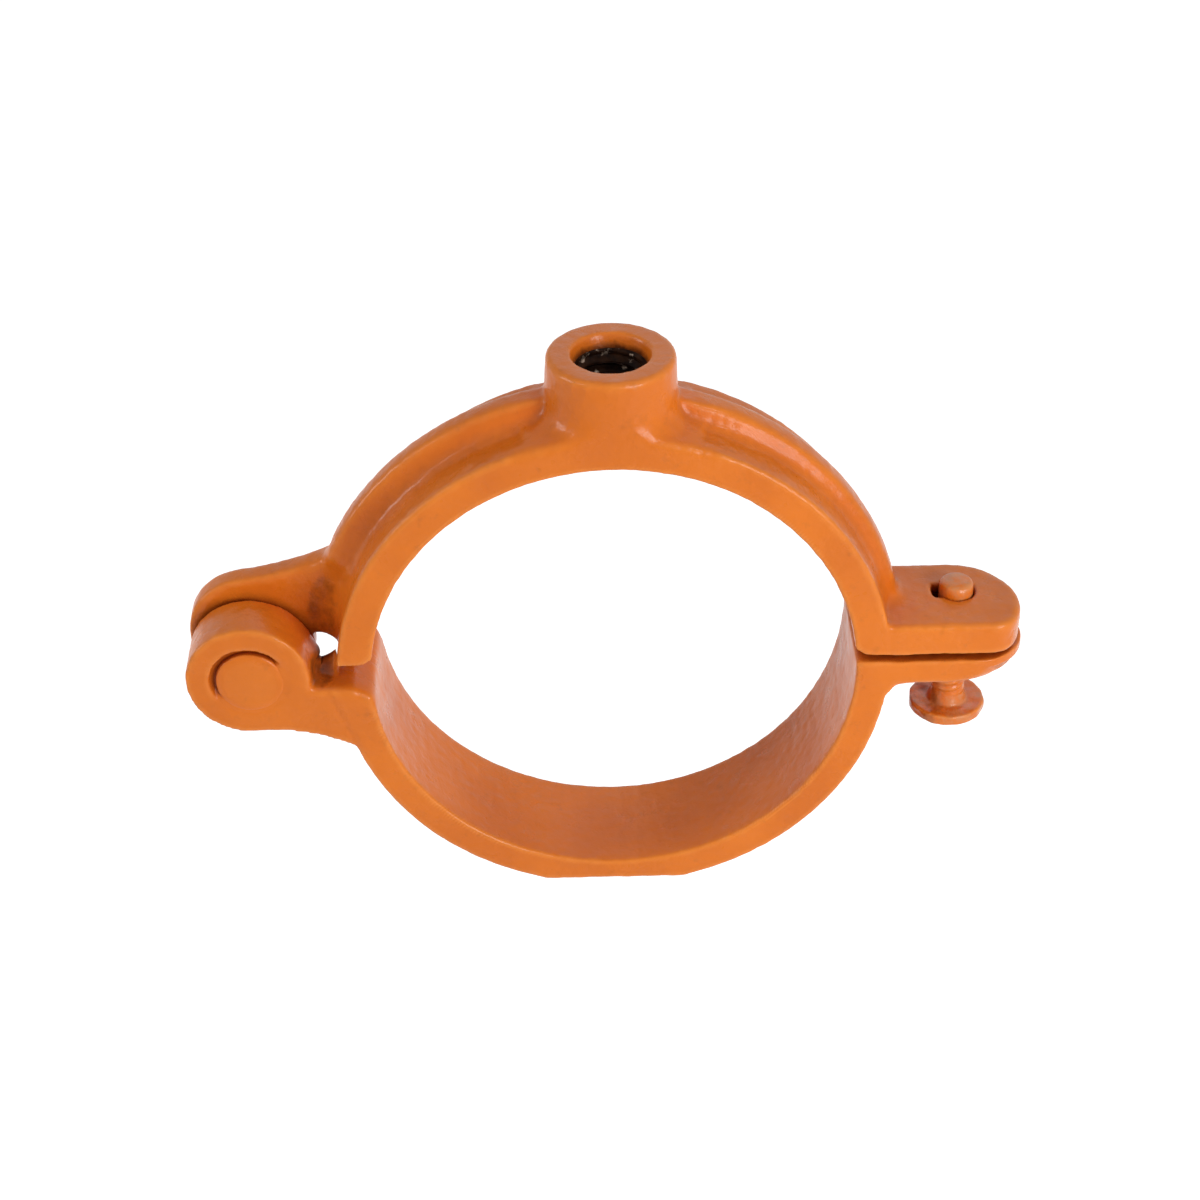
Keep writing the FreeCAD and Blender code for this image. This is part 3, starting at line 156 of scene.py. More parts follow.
# how far each point stands out from its neighbours along its normal, spread over
# the surface by repeated averaging: above 0 on ridges, below 0 in hollows
def markEdges(mesh, spacing, spread):
    points = readPoints(mesh)
    normals = readNormals(mesh)
    edges = readEdges(mesh)
    standing = ((points - neighbourMean(edges, points)) * normals).sum(1) / spacing
    standing = standing[:, None]
    for _ in range(spread):
        standing = neighbourMean(edges, standing)
    ridge = mesh.attributes.new("ridge", "FLOAT", "POINT")
    ridge.data.foreach_set("value", standing[:, 0].astype(np.float32))


# one closed skin of small squares round all shells of a mesh, its edges worn soft by
# averaging every point with its neighbours
def remadeSkin(name, mesh, voxel, rounds):
    draft = linkObject("draft", mesh)
    remade = draft.modifiers.new("squares", "REMESH")
    remade.mode = "VOXEL"
    remade.voxel_size = voxel
    worn = draft.modifiers.new("worn", "SMOOTH")
    worn.factor = 0.5
    worn.iterations = rounds
    bpy.context.view_layer.update()
    graph = bpy.context.evaluated_depsgraph_get()
    skin = bpy.data.meshes.new_from_object(draft.evaluated_get(graph))
    bpy.data.objects.remove(draft)
    skin.name = name
    return skin


# moves every point along its normal by the sum of the sets of waves times its share
def raiseWaves(mesh, waveSets, seed, share):
    points = readPoints(mesh)
    height = sum(amount * castWaves(points, seed + number, shortest, longest, skinWaves)
                 for number, (shortest, longest, amount) in enumerate(waveSets))
    points = points + readNormals(mesh) * (height * share)[:, None]
    mesh.vertices.foreach_set("co", points.astype(np.float32).ravel())
    mesh.update()
    mesh.shade_smooth()


# both castings. waves: shortest, longest, height
castHalves = {
    "voxel": 0.36 * mm,
    "soften": 5,
    "longWaves": (14 * mm, 40 * mm, 0.014 * mm),     # slow unevenness of the casting
    "shortWaves": (1.3 * mm, 3.4 * mm, 0.016 * mm),  # thick paint over sand texture
    "quietNearHole": (0.25 * mm, 1.3 * mm),
    "edgeSpread": 3,
    "placeMargin": 1.6 * mm,
    "seeds": {"upperCasting": 11, "lowerCasting": 29},
}

# places worn or painted rounder than the solid: two corners of a box, rounds of averaging
rounderPlaces = {
    "upperCasting": [((-14, -10, 34), (14, -6, 43), 24), ((-10.5, 6, 36), (10.5, 10, 43), 14),
                     ((-44, -5, 10), (-35, 3, 19), 30), ((36, -5, 4), (44, 5, 11), 30)],
    "lowerCasting": [((38, -10, -5), (60, 10, -1), 26), ((-46, -9.2, -4), (-37, 2, 4), 40),
                     ((-39, -10, -5), (-31, 10, 1), 30)],
}

# edges of the bands at both faces: radius, 1 for the outside or -1 for the bore, rounding,
# heights below which the edge is left alone at the right and the left, and the same for
# the distance from the middle
bandEdges = {
    "upperCasting": [(38.15 * mm, 1, 0.65 * mm, 9 * mm, 1 * mm, 9.5 * mm),
                     (33.35 * mm, -1, 0.5 * mm, 2 * mm, 1 * mm, 0)],
    "lowerCasting": [(37.90 * mm, 1, 0.65 * mm, 7 * mm, 13 * mm, 9.5 * mm),
                     (33.35 * mm, -1, 0.5 * mm, 1 * mm, 1 * mm, 0)],
    "fade": 2 * mm,
    "face": 8.75 * mm,
    "below": (-0.50 * mm, -0.12 * mm),
    "above": (0.30 * mm, 0.50 * mm),
    "facing": (0.02, 0.22),
}

# raised rib: its place along the tube, and where the softening fades in and out
softRib = {
    "middle": -0.95 * mm,
    "halfWidth": (4.6 * mm, 6.2 * mm),
    "outside": (37.5 * mm, 38.4 * mm),
    "crown": (39.4 * mm, 40.8 * mm),
    "lift": 0.15 * mm,
    "above": (4 * mm, 9 * mm),
    "clearOfBoss": (8.8 * mm, 17 * mm),
    "rounds": 13,
}

# axis point, axis direction and radius of each hole whose wall stays true
trueHoles = [
    ((hingeAxis[0], 0, hingeAxis[1]), (0, 1, 0), 3.2 * mm),
    ((0, 0, 0), (0, 0, 1), 4.76 * mm),
    ((earHole[0], 0, 0), (0, 0, 1), earHole[1]),
    ((screwAxis, 0, 0), (0, 0, 1), 2.45 * mm),
]

# paint run into the upper ear's hole, up to the screw's thread and open at the left
paintCollar = {
    "inner": 2.44 * mm,
    "swell": 0.30 * mm,
    "reach": 1.7 * mm,
    "heights": (5.4 * mm, 6.4 * mm),
    "openRadius": 3.5 * mm,
    "openDegrees": (20, 48),
    "ragged": 6,                                     # unevenness of the opening, in degrees
    "raggedWaves": (0.8 * mm, 2.2 * mm),
    "seed": 3,
}

# lower ear: its end thins towards the rim from below, its top and the face over it wave
earEnd = {
    "centre": 47.9 * mm,
    "radius": 9.2 * mm,
    "top": 1.6 * mm,
    "rimShare": 0.42,
    "width": 3.0 * mm,
    "along": (46 * mm, 53 * mm),
    "wave": (5 * mm, 12 * mm, 0.08 * mm),
    "gapHalf": 0.5 * mm,
    "gapReach": 0.9 * mm,
    "gapFrom": (36 * mm, 40 * mm),
    "upperSeed": 5,
    "lowerSeed": 6,
}

# mouth of the lower ear's hole, widened from below for the paint at the screw's foot
earMouth = {
    "heights": (0.8 * mm, 2.4 * mm),
    "radii": (2.6 * mm, 3.6 * mm),
    "widen": 0.5 * mm,
}

# floor of the notch beside the hinge, which rises at the back towards the band
notchFloor = {
    "from": -42.2 * mm,
    "to": -38.4 * mm,
    "heights": (-2.3 * mm, 0.4 * mm),
    "rise": (0.5 * mm, 3.9 * mm),
    "riseFrom": 0.2,
    "riseCurve": 1.4,
    "riseGain": 1.8,
    "along": (-5.6 * mm, -2.0 * mm),
    "back": 0.3 * mm,
    "side": 1.0 * mm,                                # paint gathered on the lug's side of it
    "sideRadius": (7.4 * mm, 8.0 * mm),
    "sideHeight": (0.9 * mm, 2.2 * mm),
    "sideTo": -40.8 * mm,
}

# places of painted shade, in the rod hole's mouth, on the web and the notch floor beside the
# hinge and on the left of the screw's head: centre, half sizes in mm, and how much of the
# painted shade
paintedShadePlaces = {
    "upperCasting": [((0, 0, 43.6), (5.5, 5.5, 2.3), 1.0),
                     ((-39.6, 1.5, 6.4), (2.9, 4.6, 8.0), 0.44)],
    "lowerCasting": [((-40.8, -3.4, -1.0), (2.4, 4.8, 3.2), 0.62)],
    "clampScrew": [((44.2, -1.0, -11.6), (3.6, 4.6, 3.2), 0.45)],
}
paintedShadeFade = (0.75, 1.25)

# crease on the front face where the hinge lug leaves the band: its two ends in x and z
lugCrease = {
    "ends": ((-39.5 * mm, -1.5 * mm), (-35.9 * mm, -11.2 * mm)),
    "depth": 0.16 * mm,
    "width": 0.32 * mm,
    "inFrontOf": -8 * mm,
}

# hinge: the gap between the lugs, worn wider at its edges, and paint round the pin's head
hingeJoint = {
    "lowerFace": -0.90 * mm,
    "upperFace": -0.50 * mm,
    "lowerBack": 0.26 * mm,
    "upperBack": 0.10 * mm,
    "gapReach": 0.45 * mm,
    "gapEnd": (-43 * mm, -40 * mm),
    "paintFrontOf": -7.2 * mm,
    "paintRadius": 5.75 * mm,
    "paintFace": -8.62 * mm,
    "paintMiddle": -58,
    "paintDegrees": (82, 108),
}


# for each true hole, the distance from its axis less its radius, without the sign; the
# smallest one counts
def distanceFromHoles(points):
    nearest = np.full(len(points), 1.0)
    for place, direction, radius in trueHoles:
        offset = points - np.array(place)
        axis = np.array(direction, float)
        across = offset - np.outer(offset @ axis, axis)
        nearest = np.minimum(nearest, np.abs(np.linalg.norm(across, axis=1) - radius))
    return nearest


# moves the points of a box half way to their neighbours' mean, round after round, less
# and less towards the sides of the box
def roundPlace(points, edges, low, high, rounds):
    inside = np.minimum(points - np.array(low) * mm, np.array(high) * mm - points).min(1)
    share = 0.5 * smoothStep(inside, 0, castHalves["placeMargin"])[:, None]
    for _ in range(rounds):
        points = points + share * (neighbourMean(edges, points) - points)
    return points


# edges of the bands: points near the quarter round between a cylinder and a flat face,
# that face away from both, move towards it along the line from the round's centre, all
# the way when they are close to it and less when they are farther off
def roundBandEdges(points, normals, edges):
    radial = np.maximum(np.hypot(points[:, 0], points[:, 2]), tiny)
    outward = (normals[:, 0] * points[:, 0] + normals[:, 2] * points[:, 2]) / radial
    moved = points.copy()
    fade = bandEdges["fade"]
    for radius, way, rounding, right, left, middle in edges:
        lowest = np.where(points[:, 0] > 0, right, left)
        free = smoothStep(np.abs(points[:, 2]) - lowest, 0, fade)
        if middle:
            free = free * smoothStep(np.abs(points[:, 0]) - middle, -tiny, fade)
        for side in (-1, 1):
            u = way * (radial - radius) + rounding
            v = side * points[:, 1] - bandEdges["face"] + rounding
            far = np.maximum(np.hypot(u, v), tiny)
            share = free * smoothStep(far - rounding, *bandEdges["below"])
            share = share * (1 - smoothStep(far - rounding, *bandEdges["above"]))
            share = share * smoothStep(way * outward, *bandEdges["facing"]) * (u > 0) * (v > 0)
            share = share * smoothStep(side * normals[:, 1], *bandEdges["facing"])
            scale = rounding / far
            newRadial = radius + way * (u * scale - rounding)
            newAlong = side * (v * scale + bandEdges["face"] - rounding)
            moved[:, 0] += share * points[:, 0] * (newRadial / radial - 1)
            moved[:, 2] += share * points[:, 2] * (newRadial / radial - 1)
            moved[:, 1] += share * (newAlong - points[:, 1])
    return moved


# raised rib and the valleys beside it: points beyond a radius move half way to their
# neighbours' mean, round after round, and the crown is first lifted against what that
# takes off
def softenRib(points, edges):
    rib = softRib
    radius = np.hypot(points[:, 0], points[:, 2])
    away = smoothStep(np.hypot(points[:, 0], points[:, 1]), *rib["clearOfBoss"])
    away = away * smoothStep(points[:, 2], *rib["above"])
    away = away * (1 - smoothStep(np.abs(points[:, 1] - rib["middle"]), *rib["halfWidth"]))
    lift = rib["lift"] * smoothStep(radius, *rib["crown"]) * away
    points = points * (1 + np.array([1, 0, 1]) * (lift / radius)[:, None])
    share = 0.5 * (away * smoothStep(radius, *rib["outside"]))[:, None]
    for _ in range(rib["rounds"]):
        points = points + share * (neighbourMean(edges, points) - points)
    return points


# moves the points round the hole towards the screw: the wall's distance from the screw's
# axis at each angle, less the wanted one, times fades in angle, height and distance
def runPaintIn(points):
    collar = paintCollar
    offset = screwAxis - earHole[0]
    radial = np.hypot(points[:, 0] - screwAxis, points[:, 1])
    angle = np.arctan2(points[:, 1], screwAxis - points[:, 0])
    wall = offset * np.cos(angle) + np.sqrt(earHole[1] ** 2 - (offset * np.sin(angle)) ** 2)
    waves = castWaves(points, collar["seed"], *collar["raggedWaves"], fewWaves)
    closed = smoothStep(np.degrees(np.abs(angle)) + collar["ragged"] * waves,
                        *collar["openDegrees"])
    wanted = collar["inner"] + (collar["openRadius"] - collar["inner"]) * (1 - closed)
    share = smoothStep(points[:, 2], *collar["heights"]) * (points[:, 0] > earsFrom)
    share = share * (1 - smoothStep(radial - wall, 0, collar["reach"]))
    scale = 1 - share * (wall - wanted) / np.maximum(radial, tiny)
    moved = points.copy()
    moved[:, 0] = screwAxis + (points[:, 0] - screwAxis) * scale
    moved[:, 1] = points[:, 1] * scale
    moved[:, 2] = points[:, 2] + share ** 2 * collar["swell"]
    return moved


# lower ear: height under the top times a share that grows from the rim inwards as a
# quarter circle does, and more so towards the end of the ear
def thinEarEnd(points):
    fromRim = earEnd["radius"] - np.hypot(points[:, 0] - earEnd["centre"], points[:, 1])
    t = np.clip(fromRim / earEnd["width"], 0, 1)
    share = earEnd["rimShare"] + (1 - earEnd["rimShare"]) * np.sqrt(1 - (1 - t) ** 2)
    share = 1 - smoothStep(points[:, 0], *earEnd["along"]) * (1 - share)
    share = np.where(points[:, 2] < earEnd["top"], share, 1)
    moved = points.copy()
    moved[:, 2] = earEnd["top"] - (earEnd["top"] - points[:, 2]) * share
    return moved


# lower ear's hole: distance from its axis plus a widening that grows downwards and fades
# outwards
def openEarMouth(points):
    radial = np.hypot(points[:, 0] - screwAxis, points[:, 1])
    share = smoothStep(-points[:, 2], *earMouth["heights"]) * (points[:, 0] > earsFrom)
    share = share * (1 - smoothStep(radial, *earMouth["radii"]))
    scale = 1 + share * earMouth["widen"] / np.maximum(radial, tiny)
    moved = points.copy()
    moved[:, 0] = screwAxis + (points[:, 0] - screwAxis) * scale
    moved[:, 1] = points[:, 1] * scale
    return moved


# the faces on both sides of the ears' gap: height plus slow waves, near those faces alone,
# by a bell of the height above or below the gap's middle
def waveEarGap(points, seed):
    shortest, longest, amount = earEnd["wave"]
    fromMiddle = points[:, 2] - earEnd["top"] - earEnd["gapHalf"]
    near = np.exp(-(fromMiddle / earEnd["gapReach"]) ** 2)
    near = near * smoothStep(points[:, 0], *earEnd["gapFrom"])
    moved = points.copy()
    moved[:, 2] += amount * near * castWaves(points, seed, shortest, longest, fewWaves)
    return moved


# notch floor: height plus a rise that grows towards the band and towards the back;
# the lug's side of the notch moves out by a bell of the height
def raiseNotch(points):
    floor = notchFloor
    t = (points[:, 0] - floor["from"]) / (floor["to"] - floor["from"])
    low, high = floor["heights"]
    inside = (t > 0) & (t < 1) & (points[:, 2] > low) & (points[:, 2] < high)
    inside = inside & (points[:, 1] < floor["back"])
    first, last = floor["rise"]
    rise = first + (last - first) * np.clip(t, 0, 1) ** floor["riseCurve"]
    rise = smoothStep(t, 0, floor["riseFrom"]) * rise
    rise = rise * smoothStep(points[:, 1], *floor["along"])
    moved = points.copy()
    moved[:, 2] += inside * rise * (points[:, 2] - low) / (high - low) * floor["riseGain"]
    offset = points[:, [0, 2]] - np.array(hingeAxis)
    middle, width = floor["sideHeight"]
    side = smoothStep(np.hypot(*offset.T), *floor["sideRadius"]) * (offset[:, 0] > 0)
    side = side * np.exp(-((points[:, 2] - middle) / width) ** 2)
    side = side * (points[:, 0] < floor["sideTo"])
    side = side * smoothStep(points[:, 1], *floor["along"])
    moved[:, 0] += side * floor["side"]
    return moved


# lug faces at the gap: the place along the tube axis plus a bell round the face's own
def openLugGap(points, face, back):
    near = np.exp(-((points[:, 1] - face) / hingeJoint["gapReach"]) ** 2)
    near = near * (1 - smoothStep(points[:, 0], *hingeJoint["gapEnd"]))
    moved = points.copy()
    moved[:, 1] += back * near
    return moved


# recess of the pin's head: filled with paint nearly up to the face, all but a crescent:
# the place along the tube axis moves to the paint's face, less towards the crescent
def fillPinRecess(points):
    joint = hingeJoint
    offset = points[:, [0, 2]] - np.array(hingeAxis)
    turned = np.degrees(np.arctan2(offset[:, 1], offset[:, 0])) - joint["paintMiddle"]
    turned = np.abs((turned + 180) % 360 - 180)
    share = 1 - smoothStep(turned, *joint["paintDegrees"])
    share = share * (np.hypot(*offset.T) < joint["paintRadius"])
    share = share * (points[:, 1] < joint["paintFrontOf"])
    moved = points.copy()
    moved[:, 1] += share * (np.minimum(points[:, 1], joint["paintFace"]) - points[:, 1])
    return moved


# how much painted shade each point takes: for each place its amount, times a fade that falls
# from
# 1 at three quarters of the half sizes to 0 at five quarters; the highest one counts
def markPaintedShade(mesh, places):
    points = readPoints(mesh)
    paintedShade = np.zeros(len(points))
    for centre, half, amount in places:
        far = np.linalg.norm((points / mm - np.array(centre)) / np.array(half), axis=1)
        paintedShade = np.maximum(paintedShade, amount * (1 - smoothStep(far, *paintedShadeFade)))
    mark = mesh.attributes.new("paintedShade", "FLOAT", "POINT")
    mark.data.foreach_set("value", paintedShade.astype(np.float32))


# upper casting: rib, hinge gap, ear gap and ear hole in turn
def shapeUpper(points, edges):
    points = softenRib(points, edges)
    points = openLugGap(points, hingeJoint["upperFace"], hingeJoint["upperBack"])
    return runPaintIn(waveEarGap(points, earEnd["upperSeed"]))


# front face: the place along the tube axis plus a bell of the distance from the crease
def creaseLug(points):
    start, end = (np.array(place) for place in lugCrease["ends"])
    offset = points[:, [0, 2]] - start
    t = np.clip(offset @ (end - start) / ((end - start) @ (end - start)), 0, 1)
    far = np.linalg.norm(offset - t[:, None] * (end - start), axis=1)
    moved = points.copy()
    bell = np.exp(-(far / lugCrease["width"]) ** 2)
    moved[:, 1] += (points[:, 1] < lugCrease["inFrontOf"]) * lugCrease["depth"] * bell
    return moved


# lower casting: hinge gap, notch floor, crease, ear end, ear gap, ear hole and pin recess
# in turn
def shapeLower(points, edges):
    points = openLugGap(points, hingeJoint["lowerFace"], -hingeJoint["lowerBack"])
    points = creaseLug(raiseNotch(points))
    points = waveEarGap(thinEarEnd(points), earEnd["lowerSeed"])
    return fillPinRecess(openEarMouth(points))


# cast skin: the solid's own surface remade in small squares, its edges worn soft by
# averaging, its points moved by the functions above, then along the normals by the two
# sets of waves
def castSkin(name, node, body, shape):
    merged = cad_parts[node].data.copy()
    merged.materials.clear()
    work = bmesh.new()
    work.from_mesh(merged)
    bmesh.ops.remove_doubles(work, verts=work.verts, dist=tiny)
    work.to_mesh(merged)
    work.free()
    mesh = remadeSkin(name, merged, castHalves["voxel"], castHalves["soften"])
    edges = readEdges(mesh)
    points = roundBandEdges(readPoints(mesh), readNormals(mesh), bandEdges[name])
    for low, high, rounds in rounderPlaces[name]:
        points = roundPlace(points, edges, low, high, rounds)
    points = shape(points, edges)
    mesh.vertices.foreach_set("co", points.astype(np.float32).ravel())
    mesh.update()
    quiet = smoothStep(distanceFromHoles(points), *castHalves["quietNearHole"])
    raiseWaves(mesh, (castHalves["longWaves"], castHalves["shortWaves"]),
               castHalves["seeds"][name], quiet)
    markEdges(mesh, castHalves["voxel"], castHalves["edgeSpread"])
    markPaintedShade(mesh, paintedShadePlaces[name])
    piece = linkObject(name, mesh)
    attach(piece, body)
    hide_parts(node)
    print(name, "has", len(mesh.polygons), "faces")
    return piece


upperCasting = castSkin("upperCasting", "upper_half", "upper", shapeUpper)
lowerCasting = castSkin("lowerCasting", "lower_half", "lower", shapeLower)

# hinge pin, turned about its own axis: radius and place along the tube axis, in mm.
# radius(angle) = profile radius times 1 + small waves in the angle, and the head's
# centre is a little beside the shank's
hingePin = {
    "headShift": (0.26 * mm, -0.22 * mm),
    "profile": [(0, -8.86), (3.9, -8.84), (4.72, -8.6), (4.8, -7.66), (3.15, -7.64),
                (3.15, 7.66), (4.5, 7.66), (4.7, 8.1), (3.6, 8.62), (0, 8.65)],
    "softness": 0.35,
    "cornerSteps": 6,
    "shankHalf": 7.6 * mm,
    "headFrom": -7.65 * mm,
    "unevenness": 0.006,
    "waves": ((3, 0.7, 1.0), (7, 2.1, 0.6)),         # count round the pin, phase, amount
    "columns": 96,
    "spacing": 0.4 * mm,
    "edgeSpread": 1,
}
pin = hingePin
pinProfile = softProfile(pin["profile"], pin["softness"], pin["cornerSteps"]) * mm
turn = np.linspace(0, 2 * math.pi, pin["columns"], endpoint=False)
onShank = np.abs(pinProfile[:, 1]) < pin["shankHalf"]
turnWaves = sum(amount * np.sin(count * turn + phase) for count, phase, amount in pin["waves"])
lumps = 1 + np.where(onShank, 0, pin["unevenness"])[:, None] * turnWaves[None, :]
pinRadius = pinProfile[:, 0:1] * lumps
onHead = pinProfile[:, 1:2] < pin["headFrom"]
pinPoints = np.stack([
    hingeAxis[0] + onHead * pin["headShift"][0] + pinRadius * np.cos(turn)[None, :],
    np.broadcast_to(pinProfile[:, 1:2], pinRadius.shape),
    hingeAxis[1] + onHead * pin["headShift"][1] + pinRadius * np.sin(turn)[None, :]],
    -1).reshape(-1, 3)
pinMesh = closedMesh("hingePin", pinPoints, gridFaces(len(pinProfile), pin["columns"], True))
hingePinPiece = linkObject("hingePin", pinMesh)
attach(hingePinPiece, "lower")
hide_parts("hinge_pin")
print("hinge pin made")


# one thread ridge seen along the height, 1 at the crest and 0 at the root: a triangle of
# the fraction of height over pitch less angle over a turn, rounded by 3 t^2 less 2 t^3
def threadRidge(angle, height, pitch):
    fraction = (height / pitch - angle / (2 * math.pi)) % 1.0
    triangle = 1 - np.abs(2 * fraction - 1)
    return triangle * triangle * (3 - 2 * triangle)


# closing screw. shank radius(angle, height) = crest radius less the thread's depth
# times one minus the ridge, faded out at the end and under the head
clampScrew = {
    "crest": 2.4 * mm,
    "depth": 0.26 * mm,
    "pitch": 1.058 * mm,
    "top": 9.2 * mm,
    "underHead": -10.9 * mm,
    "intoHead": 0.3 * mm,
    "fadeAtEnd": (1.8 * mm, 4.4 * mm),
    "fadeAtHead": (1.0 * mm, 2.5 * mm),
    "tipRadius": 2.15 * mm,
    "tipLength": 1.0 * mm,
    "domeHeight": 0.35 * mm,
    "domeClear": 0.36 * mm,
    "domeCurve": 0.6,
    "domeRings": 12,
    "domeInset": 0.999,
    "footHeight": 1.5 * mm,                          # paint gathered round the head's bearing
    "footSpread": 0.16,
    "headRadius": 5.3 * mm,
    "headRim": 1.4 * mm,
    "headDome": 1.8 * mm,
    "headRows": 22,
    "chordPoints": 41,
    "slotWidth": 1.3 * mm,
    "slotDepth": 1.5 * mm,
    "slotRows": (1, 0.985, 0.5, 0),                  # shares of the slot's half width
    "slotInside": 0.99,
    "slotOutside": 1.1,
    "voxel": 0.16 * mm,
    "soften": 6,
    "edgeSpread": 3,
    "lumps": (1.3 * mm, 4.5 * mm, 0.04 * mm),
    "shankRadii": (2.6 * mm, 3.3 * mm),
    "endHeights": (7.8 * mm, 8.8 * mm),
    "quiet": 0.85,
    "seed": 41,
    "columns": 56,
    "rowsPerTurn": 12,
}
screw = clampScrew
top, underHead = screw["top"], screw["underHead"]
turn = np.linspace(0, 2 * math.pi, screw["columns"], endpoint=False)[None, :]
shankRows = int((top - underHead) / screw["pitch"] * screw["rowsPerTurn"])
rowHeight = np.linspace(top, underHead - screw["intoHead"], shankRows)[:, None]
fade = smoothStep(top - rowHeight, *screw["fadeAtEnd"]) * smoothStep(
    rowHeight - underHead, *screw["fadeAtHead"])
crest = screw["crest"] - (screw["crest"] - screw["tipRadius"]) * (
    1 - smoothStep(top - rowHeight, 0, screw["tipLength"]))
ridge = threadRidge(turn, rowHeight, screw["pitch"])
shankRadius = crest - fade * screw["depth"] * (1 - ridge)

# end: an arc from the shank up to a blunt dome. height above the dome's foot = the dome's
# height times a power of one minus the square of the share of the radius
endShare = np.sin(np.linspace(0, math.pi / 2, screw["domeRings"]))[:, None]
endRings = endShare * shankRadius[:1] * screw["domeInset"]
endRise = screw["domeHeight"] * (1 - endShare ** 2) ** screw["domeCurve"]
endHeights = top - screw["domeHeight"] + endRise
below = rowHeight[:, 0] < top - screw["domeClear"]
shankRadius = np.concatenate([endRings, shankRadius[below], np.zeros_like(turn)])
shankHeight = np.concatenate([endHeights, rowHeight[below], rowHeight[-1:]])
foot = smoothStep(shankHeight, underHead + screw["footHeight"], underHead)
shankRadius = shankRadius * (1 + foot * screw["footSpread"])
shankPoints = np.stack([screwAxis + shankRadius * np.cos(turn),
                        shankRadius * np.sin(turn),
                        shankHeight * np.ones_like(turn)], -1)
shankMesh = closedMesh("screwShank", shankPoints.reshape(-1, 3),
                       gridFaces(len(shankRadius), screw["columns"], True))

# head: rows of chords across a disc, each row straight along the driver slot.
# depth(along, across) = the dome's sphere, or the slot's floor where across is small
slotHalf = screw["slotWidth"] / 2
rim = screw["headRadius"]
outward = np.sin(np.linspace(0, math.pi / 2, screw["headRows"])) * rim
across = np.unique(np.round(np.concatenate([
    outward[outward > slotHalf * screw["slotOutside"]],
    slotHalf * np.array(screw["slotRows"])]), 8))
across = np.concatenate([-across[:0:-1], across])
along = np.sin(np.linspace(-math.pi / 2, math.pi / 2, screw["chordPoints"]))
chord = np.sqrt(np.maximum(rim ** 2 - across ** 2, 0))[:, None]
headX = chord * along[None, :]
headY = np.broadcast_to(across[:, None], headX.shape)
dome = screw["headDome"]
domeRadius = (rim ** 2 + dome ** 2) / (2 * dome)
radial = np.hypot(headX, headY)
domeDepth = np.sqrt(np.maximum(domeRadius ** 2 - radial ** 2, 0)) - (domeRadius - dome)
rimLow = underHead - screw["headRim"]
slotFloor = rimLow - dome + screw["slotDepth"]
headLow = rimLow - domeDepth
inSlot = np.abs(headY) < slotHalf * screw["slotInside"]
headLow = np.where(inSlot, np.maximum(headLow, slotFloor), headLow)
headRows, headColumns = headX.shape
lowSide = np.stack([screwAxis + headX, headY, headLow], -1).reshape(-1, 3)
highSide = np.stack([screwAxis + headX, headY,
                     np.full(headX.shape, underHead)], -1).reshape(-1, 3)
sheet = gridFaces(headRows, headColumns, False)
highStart = len(lowSide)
firstColumn = np.arange(headRows - 1) * headColumns
lastColumn = firstColumn + headColumns - 1
walls = [np.stack([edge, edge + headColumns,
                   edge + headColumns + highStart, edge + highStart], -1)
         for edge in (firstColumn, lastColumn)]
headMesh = closedMesh("screwHead", np.concatenate([lowSide, highSide]),
                      np.concatenate([sheet, sheet + highStart] + walls))

# shank and head under one coat of paint
work = bmesh.new()
work.from_mesh(shankMesh)
work.from_mesh(headMesh)
work.to_mesh(shankMesh)
work.free()
screwMesh = remadeSkin("clampScrew", shankMesh, screw["voxel"], screw["soften"])

# lumps fade on the shank, all but its end, so that it stays free in its holes
screwPoints = readPoints(screwMesh)
onShankPart = 1 - smoothStep(np.hypot(screwPoints[:, 0] - screwAxis, screwPoints[:, 1]),
                             *screw["shankRadii"])
onShankPart = onShankPart * (1 - smoothStep(screwPoints[:, 2], *screw["endHeights"]))
raiseWaves(screwMesh, (screw["lumps"],), screw["seed"], 1 - screw["quiet"] * onShankPart)
screwPiece = linkObject("clampScrew", screwMesh)
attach(screwPiece, "screw")
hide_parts("clamp_screw")
print("clamping screw has", len(screwMesh.polygons), "faces")

# thread in the rod boss: a closed sleeve. inner radius(angle, height) = the major
# radius less the thread's depth times the ridge, and the outer radius is plain
rodThread = {
    "major": 4.74 * mm,
    "depth": 0.8 * mm,
    "pitch": 1.5875 * mm,
    "low": 33.7 * mm,
    "high": 44.1 * mm,
    "fadeLow": 0.8 * mm,
    "fadeHigh": 1.1 * mm,
    "inset": 0.03 * mm,
    "intoWall": 0.12 * mm,
    "columns": 72,
    "rowsPerTurn": 14,
}
thread = rodThread
low, high = thread["low"], thread["high"]
turn = np.linspace(0, 2 * math.pi, thread["columns"], endpoint=False)[None, :]
threadRows = int((high - low) / thread["pitch"] * thread["rowsPerTurn"])
rowHeight = np.linspace(low, high, threadRows)[:, None]
fade = smoothStep(high - rowHeight, 0, thread["fadeHigh"]) * smoothStep(
    rowHeight - low, 0, thread["fadeLow"])
innerRadius = (thread["major"] - thread["inset"]
               - fade * thread["depth"] * threadRidge(turn, rowHeight, thread["pitch"]))
innerHeight = rowHeight * np.ones_like(turn)
outerRadius = np.full((2, thread["columns"]), thread["major"] + thread["intoWall"])
outerHeight = np.array([[high], [low]]) * np.ones_like(turn)
sleeveRadius = np.concatenate([innerRadius, outerRadius, innerRadius[:1]])
sleeveHeight = np.concatenate([innerHeight, outerHeight, innerHeight[:1]])
sleevePoints = np.stack([sleeveRadius * np.cos(turn), sleeveRadius * np.sin(turn),
                         sleeveHeight], -1).reshape(-1, 3)
rodThreadPiece = linkObject("rodThread", closedMesh(
    "rodThread", sleevePoints, gridFaces(len(sleeveRadius), thread["columns"], True)))
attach(rodThreadPiece, "upper")
print("rod thread made")

